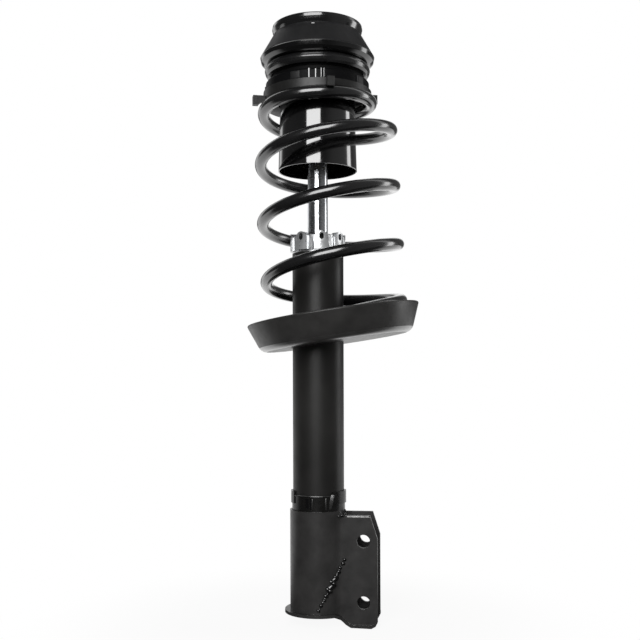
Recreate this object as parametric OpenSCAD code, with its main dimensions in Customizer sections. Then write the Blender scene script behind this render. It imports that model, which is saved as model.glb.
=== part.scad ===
// Front suspension strut: top mount, steering bearing, side-load coil spring, twin-tube damper
// and knuckle bracket. Millimetres. Origin on the strut's axis at the top ring's upper face, +Z up,
// +X towards the bracket's ears.

/* [Top mount] */
// Outer diameter of the steel ring on top
top_ring_d = 90.2; // [80:0.1:98]
// Height of the top ring
top_ring_h = 9; // [6:0.5:12]
// Bore of the top ring, around the nut's recess
top_ring_bore = 52; // [50:0.5:60]
// Diameter of the rubber cone's lip
cone_lip_d = 114; // [106:0.5:124]
// Height of the rubber cone
cone_h = 31; // [27:0.5:36]
// Diameter of the steel cup under the cone
cup_d = 105.4; // [101:0.2:112]
// Height of the steel cup
cup_h = 10; // [8:0.5:13]
// Thickness of the steel cup's plate, over the bearing
cup_plate_t = 4; // [3:0.2:5]
// Outer diameter of the steel core's hub
core_hub_d = 28; // [24:0.5:32]
// Diameter of the core's flange inside the rubber
core_flange_d = 68; // [50:1:76]
// Thickness of the core's flange
core_flange_t = 4; // [3:0.5:6]

/* [Stud and nut] */
// Thread diameter of the top stud
stud_d = 14; // [12:0.5:16]
// How far the stud's tip stands above the top ring
stud_tip_h = 12; // [10:0.5:18]
// Across flats of the stud's nut
rod_nut_af = 22; // [20:0.5:26]
// Height of the stud's nut
rod_nut_h = 12; // [9:0.5:14]
// Depth of the nut's top face below the top ring
nut_sink = 2; // [1.5:0.5:5]
// Diameter of the washer under the nut
washer_d = 46; // [36:0.5:48]
// Thickness of the washer under the nut
washer_t = 3; // [2:0.5:4]

/* [Piston rod and piston] */
// Diameter of the piston rod
rod_d = 20; // [18:0.2:22]
// Length of rod between its top shoulder and the strut tube's top
rod_out = 168; // [164:1:190]
// Length of the piston
piston_len = 20; // [16:1:26]
// Diameter of the rod's end that carries the piston
stem_d = 12; // [10:0.5:13]
// Height of the piston's sliding band
band_h = 10; // [6:0.5:12]
// Across flats of the piston's nut
piston_nut_af = 19; // [18:0.5:21]
// Height of the piston's nut
piston_nut_h = 10; // [8:0.5:12]
// Thickness of each stack of valve shims
shims_t = 3; // [2:0.2:4]
// Height of the rebound stop collar
rebound_stop_h = 6; // [4:0.5:8]
// Height of the rebound stop's rubber cushion
rebound_cushion_h = 9.7; // [7:0.1:12]

/* [Bump stop] */
// Free length of the bump stop
bump_len = 60; // [46:1:62]
// Largest diameter of the bump stop
bump_d = 48; // [42:0.5:50]
// Depth of the grooves around the bump stop
bump_groove = 4; // [2:0.5:5]
// Depth of the cup that holds the bump stop
bump_cup_h = 12; // [8:0.5:16]
// Sheet thickness of the bump stop's cup
bump_cup_t = 2; // [1.5:0.1:2.6]

/* [Steering bearing] */
// Outer diameter of the bearing's races
race_d = 92; // [88:0.5:94]
// Bore of the bearing's races
race_bore = 56; // [54.5:0.5:60]
// Diameter of the circle through the balls' centres
ball_circle_d = 72; // [68:0.5:76]
// Diameter of each ball
ball_d = 6; // [5.6:0.1:6.4]
// Number of balls
ball_count = 12; // [8:1:14]
// Gap between the two races
race_gap = 3.2; // [2.8:0.1:3.8]
// Thickness of the cage that spaces the balls
cage_t = 2.2; // [1.6:0.1:2.4]
// Depth of the bearing's foot below the steel cup's edge
race_drop = 6; // [4:0.2:8]

/* [Upper spring seat] */
// Rim diameter of the upper spring seat
upper_seat_d = 103; // [100:0.5:106]
// Height of the upper spring seat's rim
upper_seat_h = 10; // [8.5:0.5:12]
// Thickness of the upper spring seat's plate
upper_seat_t = 4; // [3:0.2:5]
// Thickness of the upper spring seat's rim
upper_seat_rim_t = 3; // [2:0.2:4]
// Number of ribs under the upper spring seat
seat_rib_count = 12; // [6:1:18]
// Thickness of each rib
seat_rib_t = 2; // [1.5:0.1:3]
// Diameter of the upper rubber isolator
upper_isolator_d = 108; // [107:0.5:112]
// Least thickness of the upper isolator, above the wire's end
upper_isolator_t = 2.7; // [2:0.1:4]
// Diameter over the isolator's four lugs
lug_span = 126.4; // [124:0.2:132]
// Width of each lug
lug_w = 7; // [6:0.5:12]
// Height of each lug
lug_h = 9; // [7:0.5:11]
// Height of each lug's top above the wire's centre below it
lug_rise = 12; // [10.5:0.5:13.5]
// Sideways offset of the lugs, away from the seat's tilt
lug_offset = 2; // [0:0.2:3]

/* [Dust shield] */
// Outer diameter of the dust shield at its top
shield_top_d = 74; // [72:0.2:74.5]
// Outer diameter of the dust shield at its open end
shield_end_d = 78.6; // [76:0.2:84]
// Wall thickness of the dust shield
shield_t = 1.2; // [0.8:0.1:1.6]
// Length of the dust shield below its flange
shield_len = 77.5; // [66:0.5:90]
// Thickness of the dust shield's flange
shield_flange_t = 1.2; // [0.8:0.1:1.6]

/* [Coil spring] */
// Diameter of the spring wire
wire_d = 12; // [10.5:0.1:12.6]
// Mean diameter of the spring's main coils
coil_d = 133.5; // [131:0.5:136]
// Mean diameter of the spring's last coil at the top
pigtail_d = 106.8; // [105:0.2:109]
// Number of turns
coil_turns = 5.4; // [5.2:0.05:5.6]
// Turns that lie flat in the lower seat
dead_turns = 0.3; // [0.2:0.05:0.4]
// Rise of the last coil at the top, per turn
pigtail_pitch = 16; // [15:0.1:18]
// Turns over which the spring narrows into its last coil
pigtail_turns = 1.4; // [1.35:0.05:1.5]
// Turns over which the last coil flattens towards its end
top_flat_turns = 0.65; // [0.5:0.05:0.7]
// Sideways lean of the spring from its foot to its last coil
coil_lean = 7.1; // [4:0.1:9]

/* [Lower spring seat] */
// Rim diameter of the lower spring seat
pan_rim_d = 172.8; // [166:0.2:180]
// Diameter of the lower spring seat's floor
pan_floor_d = 151.6; // [150.5:0.1:156]
// Height of the lower spring seat
pan_h = 28.7; // [24:0.1:34]
// Sheet thickness of the lower spring seat
pan_t = 3; // [2.4:0.1:3.4]
// Outer radius of the lower spring seat's bottom corner
pan_corner_r = 5.5; // [4.5:0.1:7]
// Tilt of the lower spring seat
pan_tilt = 8.1; // [5:0.1:9]
// Direction of the tilt, turned from +X
pan_turn = 8; // [0:1:15]
// Sideways offset of the lower spring seat's rim from the strut's axis
pan_offset = 14.6; // [10:0.1:18]
// Distance from the strut tube's top down to the centre of the seat's rim
pan_drop = 60; // [50:0.5:64]
// Thickness of the rubber ring between the spring and the lower seat
lower_isolator_t = 3; // [2:0.1:4]
// Width of the rubber ring between the spring and the lower seat
lower_isolator_w = 12; // [8:0.5:12.5]
// Height of the neck that stands up inside the lower seat
collar_h = 12; // [8:0.5:20]
// Thickness of the neck that stands up inside the lower seat
collar_t = 3; // [2:0.2:5]

/* [Strut tube] */
// Outer diameter of the strut tube
tube_d = 51; // [50:0.2:52]
// Wall thickness of the strut tube
tube_t = 2.5; // [2:0.1:3]
// Length of the strut tube
tube_len = 334; // [326:1:350]
// Height of the cap that closes the tube's foot
foot_cap_h = 6; // [4:0.5:9]
// Bore of the inner pressure tube
bore_d = 32; // [30:0.1:33]
// Wall thickness of the inner pressure tube
bore_tube_t = 1.5; // [1:0.1:2]
// Height of the rod guide inside the tube
guide_h = 10; // [8:0.5:16]
// Depth of the gland nut's threaded spigot
spigot_h = 10; // [8:0.5:14]
// Depth to which the guide and the foot valve plug the pressure tube
plug_h = 6; // [4:0.5:9]
// Height of the foot valve's body
foot_valve_h = 10; // [8:0.5:14]

/* [Gland nut] */
// Outer diameter over the gland nut's lobes
gland_d = 55; // [54:0.2:58]
// Across flats between the lobes
gland_af = 49.5; // [48:0.1:50]
// Height of the gland nut's flats above its seat
gland_flat_h = 14; // [12:0.5:17]
// Height of the lobes above the flats
gland_lobe_rise = 3.5; // [2:0.1:4.5]
// Width of each lobe
gland_lobe_w = 13.8; // [12:0.1:15]
// Number of lobes
gland_lobe_count = 8; // [6:1:8]
// Width of the oval hole through each lobe
gland_hole_w = 4.4; // [3:0.1:5.5]
// Height of the oval hole through each lobe
gland_hole_h = 6.6; // [5.8:0.1:7.4]
// Rim between each oval hole and the top of its lobe
gland_hole_rim = 1.7; // [1.2:0.1:2.2]
// Diameter of the recess around the rod's seal
gland_recess_d = 38; // [34:0.5:40]
// Height of the rod's seal
seal_h = 4; // [3:0.5:6]
// Depth of the seal's seat below the oval holes
seal_sink = 1.2; // [0.8:0.1:2]
// Step between the nut and the strut tube's top
gland_step = 2; // [1:0.2:3]

/* [Clip ring] */
// Height of the clip ring's band
clip_h = 15; // [12:0.5:18]
// Thickness of the clip ring's band
clip_t = 0.9; // [0.6:0.1:1.5]
// Height of the clip ring's raised tabs
clip_tab_h = 12; // [10:0.5:14]
// Rise of the tabs above the band
clip_tab_rise = 4; // [3:0.5:6]
// Thickness of the raised tabs
clip_tab_t = 2; // [1.6:0.1:3]
// Angle from the clip ring's front to the near end of its right tab
clip_right_from = 30; // [20:1:50]
// Angle from the clip ring's front to the far end of its right tab
clip_right_to = 105; // [95:1:115]
// Angle from the clip ring's front to the near end of its left tab
clip_left_from = 62; // [50:1:75]
// Angle from the clip ring's front to the far end of its left tab
clip_left_to = 105; // [90:1:115]
// Diameter of the small hole in the right tab
clip_hole_d = 3; // [2:0.1:4]

/* [Knuckle bracket] */
// Sheet thickness of the knuckle bracket
bracket_t = 3; // [2.6:0.1:3.2]
// Height of the bracket's wrap around the tube
bracket_h = 102.2; // [98:0.2:112]
// Length of the bracket's wrap below the strut tube's foot
bracket_foot = 22.8; // [12:0.2:26]
// Outside width over the two ears
ear_width = 37; // [35:0.2:40]
// Distance from the strut's axis to the ears' far edge
ear_reach = 60.3; // [58:0.1:66]
// Drop from the wrap's top edge to the ears' top edge
ear_drop = 3.9; // [2:0.1:8]
// Width of the chamfer at the ears' top corner
ear_chamfer_w = 7.3; // [4:0.1:9]
// Height of the chamfer at the ears' top corner
ear_chamfer_h = 22.5; // [14:0.5:24]
// How far the ears' lip reaches below the wrap's bottom edge
ear_lip_drop = 11.2; // [6:0.2:14]
// Radius of the fold between the wrap and each ear
fold_r = 9; // [5:0.5:12]
// Outward reach of the flared bottom edge
flare_w = 5.3; // [3:0.1:7]
// Outward reach of the same edge below the ears
ear_flare_w = 2.5; // [2:0.1:4]
// Diameter of the two bolt holes
bolt_d = 12.8; // [12:0.1:14.4]
// Distance between the two bolt holes
bolt_spacing = 60; // [54:0.5:62]
// Distance from the strut's axis to the bolt holes
bolt_reach = 46.5; // [44:0.5:48]
// Drop from the ears' top edge to the upper bolt hole
bolt_drop = 25; // [22:0.5:28]
// Diameter of the weld bead along each side of the bracket
weld_d = 4; // [3:0.2:5]
// Number of drops in each weld bead
weld_drops = 11; // [9:1:15]
// Drop from the ears' top edge to the weld's upper end
weld_drop_z = 43; // [36:0.5:52]
// Height of the weld's lower end above the wrap's bottom edge
weld_foot_h = 7; // [6:0.5:14]
// Distance from the strut's axis to the weld's upper end
weld_top_x = 28; // [26:0.5:32]
// Distance from the strut's axis to the weld's lower end
weld_foot_x = 4; // [0:0.5:8]

/* [Fits] */
// Radial gap between a bolted or pressed piece and its seat
seat_gap = 0.05; // [0.02:0.01:0.1]
// Radial gap of a piece that slides or turns on another
running_gap = 0.05; // [0.02:0.01:0.08]
// Gap between soft pieces and what they lie against
soft_gap = 0.3; // [0.25:0.05:0.4]

/* [Hidden] */
BALLS = [for (i = [1:ball_count]) str("ball_", i)];
$fn = 96;

// Heights of the stack, worked down from the top ring's upper face at 0.
cone_top_z = -top_ring_h;
cone_foot_z = cone_top_z - cone_h;
washer_z = -nut_sink - rod_nut_h;
core_top_z = washer_z - washer_t;
flange_z = (core_top_z + cone_foot_z) / 2 - core_flange_t / 2;
cup_foot_z = cone_foot_z - cup_h;
race_top_z = cone_foot_z - cup_plate_t;
seat_top_z = cup_foot_z - race_drop;
race_t = (race_top_z - seat_top_z - race_gap) / 2;
ball_z = (race_top_z + seat_top_z) / 2;
shoulder_z = seat_top_z - bump_cup_t;
seat_foot_z = seat_top_z - upper_seat_h;
tube_top_z = shoulder_z - rod_out;
tube_foot_z = tube_top_z - tube_len;
gland_z = tube_top_z + gland_step;
gland_flat_z = gland_z + gland_flat_h;
gland_top_z = gland_flat_z + gland_lobe_rise;
gland_hole_z = gland_top_z - gland_hole_rim - gland_hole_h / 2;
gland_recess_z = gland_hole_z - gland_hole_h / 2 - seal_sink;
guide_top_z = gland_z - spigot_h;
guide_foot_z = guide_top_z - guide_h;
foot_valve_z = tube_foot_z;
bore_foot_z = foot_valve_z + foot_valve_h;
cushion_z = guide_foot_z - plug_h - soft_gap;
stop_z = cushion_z - rebound_cushion_h;
stem_z = stop_z - rebound_stop_h;
piston_z = stem_z - shims_t;
piston_foot_z = piston_z - piston_len;
piston_nut_z = piston_foot_z - shims_t;
rod_end_z = piston_nut_z - piston_nut_h - 2;
bracket_foot_z = tube_foot_z - bracket_foot;
bracket_top_z = bracket_foot_z + bracket_h;
ear_top_z = bracket_top_z - ear_drop;
bolt_top_z = ear_top_z - bolt_drop;

// Radii that follow from the sizes above.
tube_r = tube_d / 2;
tube_bore_r = tube_r - tube_t;
rod_r = rod_d / 2;
stem_r = stem_d / 2;
stud_r = stud_d / 2;
bore_r = bore_d / 2;
wrap_in_r = tube_r + seat_gap;
wrap_r = wrap_in_r + bracket_t;

// Lower spring seat and spring. "Across" runs towards the seat's tilt, and "up" is the seat's own axis.
pan_rim_z = tube_top_z - pan_drop;
pan_across = pan_offset + pan_h * sin(pan_tilt);
pan_z = pan_rim_z - pan_h * cos(pan_tilt);
pan_lean = atan2((pan_rim_d - pan_floor_d) / 2, pan_h);
// Where the floor turns into the corner, and where its upper face meets the strut's axis.
pan_flat_r = pan_floor_d / 2 - tan((90 - pan_lean) / 2) * pan_corner_r;
collar_z = pan_z - pan_across * tan(pan_tilt) + pan_t / cos(pan_tilt);
wire_r = wire_d / 2;
wire_up = pan_t + lower_isolator_t + soft_gap + wire_r;
coil_across = pan_across - wire_up * sin(pan_tilt);
coil_z = pan_z + wire_up * cos(pan_tilt);
coil_top_z = seat_foot_z - upper_isolator_t - soft_gap - wire_r;
rings_per_turn = 24;
wire_sides = 8;
blend_turns = 0.9;
top_blend_turn = coil_turns - pigtail_turns;
upper_across = coil_across - coil_lean;
main_pitch = (coil_top_z - coil_z
    - pigtail_pitch * (soft_ramp(coil_turns - top_blend_turn) - soft_ramp(top_flat_turns)))
    / (soft_ramp(coil_turns - dead_turns) - soft_ramp(coil_turns - top_blend_turn));
weld_sides = 6;
// The spring's top end lies at the far side, a quarter turn past the seat's tilt.
end_angle = 90;

function smooth(x) = let (s = min(max(x, 0), 1)) s * s * (3 - 2 * s);
function mix(a, b, s) = a + (b - a) * s;
// A ramp of slope 1 that sets in over blend_turns turns.
function soft_ramp(x) = let (s = x / blend_turns)
    x <= 0 ? 0 : x < blend_turns ? blend_turns * s * s * s * (1 - s / 2) : x - blend_turns / 2;
function arc(centre, radius, from, to, steps = 6) =
    [for (i = [0:steps]) let (a = from + (to - from) * i / steps) centre + radius * [cos(a), sin(a)]];

// The spring's centre line, "turn" turns above its lower end.
function coil_shrink(turn) = smooth((turn - (top_blend_turn - 0.05)) / 0.85);
function coil_angle(turn) = end_angle - 360 * (coil_turns - turn);
function coil_tilt(turn) =
    pan_tilt * (1 - smooth((turn - dead_turns - 0.1) / 1.6) / 2 - smooth((turn - 3.3) / 1.3) / 2);
function coil_radius(turn) = mix(coil_d, pigtail_d, coil_shrink(turn)) / 2;
function coil_height(turn) = coil_z + main_pitch * soft_ramp(turn - dead_turns)
    - (main_pitch - pigtail_pitch) * soft_ramp(turn - top_blend_turn)
    - pigtail_pitch * soft_ramp(turn - coil_turns + top_flat_turns);
function coil_centre(turn) = mix(mix(coil_across, upper_across, smooth((turn - 1.1) / 2.9)), 0,
    coil_shrink(turn));
function coil_point(turn) = let (a = coil_angle(turn), r = coil_radius(turn), t = coil_tilt(turn))
    [coil_centre(turn) + r * cos(a) * cos(t), r * sin(a), coil_height(turn) + r * cos(a) * sin(t)];

coil_rings = ceil(coil_turns * rings_per_turn);
coil_path = [for (i = [0:coil_rings]) coil_point(coil_turns * i / coil_rings)];
coil_gap = min([for (i = [0:coil_rings], j = [i + rings_per_turn / 2:coil_rings])
    norm(coil_path[i] - coil_path[j])]) - wire_d;
echo(str("least gap of coil_spring to itself: ", coil_gap, " mm"));

function unit(v) = v / norm(v);
function path_way(path, i) = unit(path[min(i + 1, len(path) - 1)] - path[max(i - 1, 0)]);
function tube_ring(path, i, radius, sides) = let (
    way = path_way(path, i),
    side = unit(cross([0, 0, 1], way)),
    up = cross(way, side))
    [for (k = [0:sides - 1]) let (a = 360 * (k + 0.5) / sides)
        path[i] + radius * (side * cos(a) + up * sin(a))];

// A round wire along a path, with a radius for each point, as one closed solid of triangles.
module wire(path, radii, sides) {
    last = len(path) - 1;
    points = [for (i = [0:last]) each tube_ring(path, i, radii[i], sides)];
    walls = [for (i = [0:last - 1], k = [0:sides - 1])
        let (a = i * sides + k, b = i * sides + (k + 1) % sides)
        each [[a, a + sides, b], [b, a + sides, b + sides]]];
    lower_end = [for (k = [1:sides - 2]) [0, k, k + 1]];
    upper_end = [for (k = [1:sides - 2]) [last * sides, last * sides + k + 1, last * sides + k]];
    polyhedron(points, concat(walls, lower_end, upper_end), convexity = 10);
}

module ring(r_in, r_out, z_low, z_high) {
    rotate_extrude()
        translate([r_in, z_low])
            square([r_out - r_in, z_high - z_low]);
}

module hex(across_flats, bore_radius, z_low, height) {
    translate([0, 0, z_low])
        difference() {
            cylinder(h = height, r = across_flats / sqrt(3), $fn = 6);
            translate([0, 0, -1]) cylinder(h = height + 2, r = bore_radius);
        }
}

// Moves a shape from the lower spring seat's own frame to the strut's.
module on_pan() {
    rotate([0, 0, pan_turn])
        translate([pan_across, 0, pan_z])
            rotate([0, -pan_tilt, 0])
                children();
}

module top_ring() {
    edge_r = 1.5;
    r = top_ring_d / 2;
    color([0.05, 0.05, 0.055])
        rotate_extrude()
            polygon(concat(
                [[top_ring_bore / 2, -top_ring_h], [r - 1.6, -top_ring_h], [r - 0.6, -top_ring_h / 2 - 1.5],
                 [r, -top_ring_h / 2 + 0.5]],
                arc([r - edge_r, -edge_r], edge_r, 0, 90),
                [[top_ring_bore / 2 + 1.5, 0], [top_ring_bore / 2, -1.5]]));
}

module mount_rubber() {
    lip_r = 2.4;
    lip_x = cone_lip_d / 2 - lip_r;
    lip_z = cone_foot_z + lip_r + 3.6;
    neck_r = cup_d / 2 - 2.2;
    hub_r = core_hub_d / 2;
    flange_r = core_flange_d / 2;
    pocket_r = top_ring_bore / 2;
    color([0.09, 0.09, 0.095])
        rotate_extrude()
            polygon(concat(
                [[hub_r, cone_foot_z], [hub_r, flange_z], [flange_r, flange_z],
                 [flange_r, flange_z + core_flange_t], [hub_r, flange_z + core_flange_t], [hub_r, core_top_z],
                 [pocket_r, core_top_z], [pocket_r, cone_top_z], [top_ring_d / 2 - 1.2, cone_top_z]],
                arc([lip_x, lip_z], lip_r, 29, -62, 8),
                [[neck_r + 0.6, cone_foot_z + 2.2], [neck_r, cone_foot_z]]));
}

module mount_cup() {
    bulge_r = cup_d / 2;
    plate_in_r = core_hub_d / 2 + 4;
    race_seat_r = race_d / 2 + soft_gap;
    color([0.05, 0.05, 0.055])
        rotate_extrude()
            polygon(concat(
                [[plate_in_r, race_top_z], [plate_in_r, cone_foot_z], [bulge_r - 2, cone_foot_z]],
                arc([bulge_r - 3, cone_foot_z - 4], 3, 60, -60, 6),
                [[bulge_r - 3, cup_foot_z], [race_seat_r, cup_foot_z], [race_seat_r, race_top_z]]));
}

module mount_core() {
    color([0.62, 0.62, 0.64])
        rotate_extrude()
            polygon([
                [stud_r + seat_gap, seat_top_z], [core_hub_d / 2, seat_top_z], [core_hub_d / 2, flange_z],
                [core_flange_d / 2, flange_z], [core_flange_d / 2, flange_z + core_flange_t],
                [core_hub_d / 2, flange_z + core_flange_t], [core_hub_d / 2, core_top_z],
                [stud_r + seat_gap, core_top_z]]);
}

module top_washer() {
    color([0.72, 0.72, 0.74])
        ring(stud_r + seat_gap, washer_d / 2, core_top_z, washer_z);
}

module rod_nut() {
    color([0.78, 0.76, 0.68])
        hex(rod_nut_af, stud_r + seat_gap, washer_z, rod_nut_h);
}

module bearing_groove() {
    rotate_extrude()
        translate([ball_circle_d / 2, ball_z])
            circle(r = ball_d / 2 + running_gap);
}

module upper_race() {
    skirt_t = 1.4;
    color([0.16, 0.16, 0.17])
        difference() {
            union() {
                ring(race_bore / 2, race_d / 2, ball_z + race_gap / 2, race_top_z);
                ring(race_d / 2 - skirt_t, race_d / 2, seat_top_z + race_t + 0.6, race_top_z);
            }
            bearing_groove();
        }
}

module lower_race() {
    color([0.16, 0.16, 0.17])
        difference() {
            ring(race_bore / 2, race_d / 2, seat_top_z, ball_z - race_gap / 2);
            bearing_groove();
        }
}

module bearing_cage() {
    half_w = ball_d / 2 + 2;
    r = ball_circle_d / 2;
    color([0.8, 0.78, 0.66])
        difference() {
            ring(r - half_w, r + half_w, ball_z - cage_t / 2, ball_z + cage_t / 2);
            for (i = [1:ball_count])
                at_ball(i)
                    cylinder(h = 4 * cage_t, r = ball_d / 2 + running_gap, center = true);
        }
}

module at_ball(i) {
    rotate([0, 0, 360 * i / ball_count])
        translate([ball_circle_d / 2, 0, ball_z])
            children();
}

module ball(i) {
    color([0.8, 0.8, 0.82])
        at_ball(i)
            sphere(d = ball_d);
}

module piston_rod() {
    tip = 1.5;
    relief = 0.6;
    color([0.82, 0.83, 0.85])
        rotate_extrude()
            polygon([
                [0, rod_end_z], [stem_r, rod_end_z], [stem_r, stem_z], [rod_r, stem_z], [rod_r, shoulder_z],
                [stud_r, shoulder_z], [stud_r, -nut_sink - 0.2], [stud_r - relief, -nut_sink],
                [stud_r - relief, -nut_sink + 0.8], [stud_r, -nut_sink + 1],
                [stud_r, stud_tip_h - tip], [stud_r - tip, stud_tip_h], [0, stud_tip_h]]);
}

module rebound_cushion() {
    color([0.12, 0.12, 0.12])
        ring(rod_r + seat_gap, bore_r - 1.5, stop_z, cushion_z);
}

module rebound_stop() {
    color([0.6, 0.6, 0.62])
        ring(rod_r + seat_gap, bore_r - 1.5, stem_z, stop_z);
}

module shims(z) {
    color([0.66, 0.66, 0.68])
        translate([0, 0, z])
            rotate_extrude()
                translate([stem_r + seat_gap, 0])
                    square([bore_r - 4 - stem_r, shims_t]);
}

module upper_shims() {
    shims(piston_z);
}

module lower_shims() {
    shims(piston_nut_z);
}

module piston() {
    band_z = piston_foot_z + (piston_len - band_h) / 2;
    port_r = 1.5;
    port_circle_r = bore_r - 3.1;
    color([0.5, 0.5, 0.5])
        difference() {
            ring(stem_r + seat_gap, bore_r - 0.5, piston_foot_z, piston_z);
            ring(bore_r - 1.2, bore_r + 1, band_z, band_z + band_h);
            for (i = [0:5])
                rotate([0, 0, 60 * i])
                    translate([port_circle_r, 0, piston_foot_z - 1])
                        cylinder(h = piston_len + 2, r = port_r);
        }
}

module piston_band() {
    band_z = piston_foot_z + (piston_len - band_h) / 2;
    color([0.3, 0.24, 0.16])
        ring(bore_r - 1.2 + seat_gap, bore_r - running_gap, band_z + seat_gap, band_z + band_h - seat_gap);
}

module piston_nut() {
    color([0.6, 0.6, 0.62])
        hex(piston_nut_af, stem_r + seat_gap, piston_nut_z - piston_nut_h, piston_nut_h);
}

module bump_cup() {
    inner_r = bump_d / 2 + soft_gap;
    color([0.1, 0.1, 0.11])
        rotate_extrude()
            polygon([
                [stud_r + seat_gap, shoulder_z], [stud_r + seat_gap, seat_top_z],
                [inner_r + bump_cup_t, seat_top_z],
                [inner_r + bump_cup_t, shoulder_z - bump_cup_h], [inner_r, shoulder_z - bump_cup_h],
                [inner_r, shoulder_z]]);
}

module bump_stop() {
    bulges = 4;
    r = bump_d / 2;
    groove_z = shoulder_z - bump_cup_h;
    nose_z = shoulder_z - bump_len;
    pitch = (bump_len - bump_cup_h) / bulges;
    color([0.62, 0.5, 0.2])
        rotate_extrude()
            polygon(concat(
                [[rod_r + soft_gap, nose_z], [rod_r + soft_gap, shoulder_z], [r, shoulder_z], [r, groove_z]],
                [for (i = [0:bulges - 1], a = [30:60:330])
                    [r - i - bump_groove * (1 - cos(a)) / 2, groove_z - pitch * (i + a / 360)]],
                [[r - bulges - bump_groove / 2, nose_z]]));
}

module upper_spring_seat() {
    r = upper_seat_d / 2;
    bore = race_bore / 2 + 0.5;
    rib_foot_z = seat_foot_z + shield_flange_t;
    rib_in_r = shield_top_d / 2;
    rib_out_r = r - upper_seat_rim_t / 2;
    color([0.05, 0.05, 0.055])
        union() {
            rotate_extrude()
                polygon([
                    [bore, seat_top_z - upper_seat_t], [bore, seat_top_z], [r - 1.5, seat_top_z],
                    [r, seat_top_z - 1.5], [r, seat_foot_z], [r - upper_seat_rim_t, seat_foot_z],
                    [r - upper_seat_rim_t, seat_top_z - upper_seat_t]]);
            for (i = [0:seat_rib_count - 1])
                rotate([0, 0, 360 * i / seat_rib_count])
                    translate([rib_in_r, -seat_rib_t / 2, rib_foot_z])
                        cube([rib_out_r - rib_in_r, seat_rib_t, seat_top_z - 1 - rib_foot_z]);
        }
}

// The isolator follows the spring from its top end down to this many turns below it.
ramp_turns = 0.78;
// The isolator's underside, "turn" turns below the spring's top end.
function followed(turn) = coil_turns - min(turn, ramp_turns);
function ramp_z(turn) = coil_height(followed(turn)) + wire_r + soft_gap;

module isolator_ramp(r_in, r_out) {
    steps = 60;
    span = 0.97;
    turns = [for (i = [0:steps]) span * i / steps];
    points = [for (t = turns) let (a = pan_turn + end_angle - 360 * t, z = ramp_z(t))
        each [[r_in * cos(a), r_in * sin(a), seat_foot_z], [r_out * cos(a), r_out * sin(a), seat_foot_z],
              [r_out * cos(a), r_out * sin(a), z], [r_in * cos(a), r_in * sin(a), z]]];
    walls = [for (i = [0:steps - 1], k = [0:3]) let (a = 4 * i + k, b = 4 * i + (k + 1) % 4)
        each [[a, b, a + 4], [b, b + 4, a + 4]]];
    ends = [[0, 2, 1], [0, 3, 2], [4 * steps, 4 * steps + 1, 4 * steps + 2],
        [4 * steps, 4 * steps + 2, 4 * steps + 3]];
    polyhedron(points, concat(walls, ends), convexity = 4);
}

module upper_isolator() {
    lug_in_r = upper_isolator_d / 2 - 2;
    r_in = shield_top_d / 2 + 1.5;
    color([0.1, 0.1, 0.1])
        union() {
            isolator_ramp(r_in, upper_isolator_d / 2);
            for (i = [0:3])
                isolator_lug(90 * i - 78, lug_in_r);
        }
}

// One lug over the wire, at an angle from the seat's tilt.
module isolator_lug(angle, lug_in_r) {
    turn = (end_angle - angle + 720) % 360 / 360;
    wire_z = coil_height(followed(turn));
    wire_out_r = coil_radius(followed(turn)) + wire_r + 2 * soft_gap;
    reach = lug_span / 2 - lug_offset * cos(angle);
    difference() {
        rotate([0, 0, pan_turn + angle])
            translate([lug_in_r, -lug_w / 2, wire_z + lug_rise - lug_h])
                cube([reach - lug_in_r, lug_w, lug_h]);
        rotate_extrude()
            translate([wire_out_r - wire_r - 2 * soft_gap, wire_z])
                circle(r = wire_r + 2 * soft_gap);
        rotate_extrude()
            translate([0, wire_z - lug_rise])
                square([wire_out_r, lug_rise]);
        cylinder_between(upper_seat_d / 2 + soft_gap, seat_foot_z, seat_top_z);
    }
}

module dust_shield() {
    top_r = shield_top_d / 2;
    end_r = shield_end_d / 2;
    flange_z = seat_foot_z + shield_flange_t;
    end_z = seat_foot_z - shield_len;
    color([0.05, 0.05, 0.055])
        rotate_extrude()
            polygon([
                [top_r - shield_t, flange_z], [top_r - shield_t, seat_foot_z - 2], [end_r - shield_t, end_z],
                [end_r, end_z], [top_r, seat_foot_z - 2], [top_r, seat_foot_z],
                [upper_seat_d / 2 - upper_seat_rim_t - 0.5, seat_foot_z],
                [upper_seat_d / 2 - upper_seat_rim_t - 0.5, flange_z]]);
}

module strut_tube() {
    color([0.07, 0.07, 0.075])
        ring(tube_bore_r, tube_r, tube_foot_z, tube_top_z);
}

module gland_nut() {
    lobe_r = gland_lobe_w / 2;
    lobe_z = gland_top_z - lobe_r;
    lobe_in_r = gland_af / 2 - 4;
    hole_r = gland_hole_w / 2;
    first_lobe = pan_turn - 90 + 7.5;
    color([0.74, 0.73, 0.7])
        difference() {
            union() {
                rotate([0, 0, first_lobe + 180 / gland_lobe_count])
                    translate([0, 0, gland_z])
                        cylinder(h = gland_flat_h, r = gland_af / 2 / cos(180 / gland_lobe_count),
                            $fn = gland_lobe_count);
                intersection() {
                    cylinder_between(gland_d / 2, gland_z, gland_top_z + 1);
                    for (i = [0:gland_lobe_count - 1])
                        rotate([0, 0, first_lobe + 360 * i / gland_lobe_count])
                            translate([lobe_in_r, 0, 0])
                                gland_lobe(lobe_r, lobe_z, gland_d / 2 + 1 - lobe_in_r);
                }
                cylinder_between(tube_bore_r - seat_gap, gland_z - spigot_h, gland_z + 1);
            }
            cylinder_between(rod_r + 1, gland_z - spigot_h - 1, gland_top_z + 1);
            cylinder_between(gland_recess_d / 2, gland_recess_z, gland_top_z + 1);
            for (i = [0:gland_lobe_count - 1])
                rotate([0, 0, first_lobe + 360 * i / gland_lobe_count])
                    translate([gland_recess_d / 2 - 2, 0, gland_hole_z])
                        oval_hole(hole_r, gland_hole_h / 2 - hole_r, gland_d);
        }
}

module cylinder_between(radius, z_low, z_high) {
    translate([0, 0, z_low])
        cylinder(h = z_high - z_low, r = radius);
}

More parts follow.
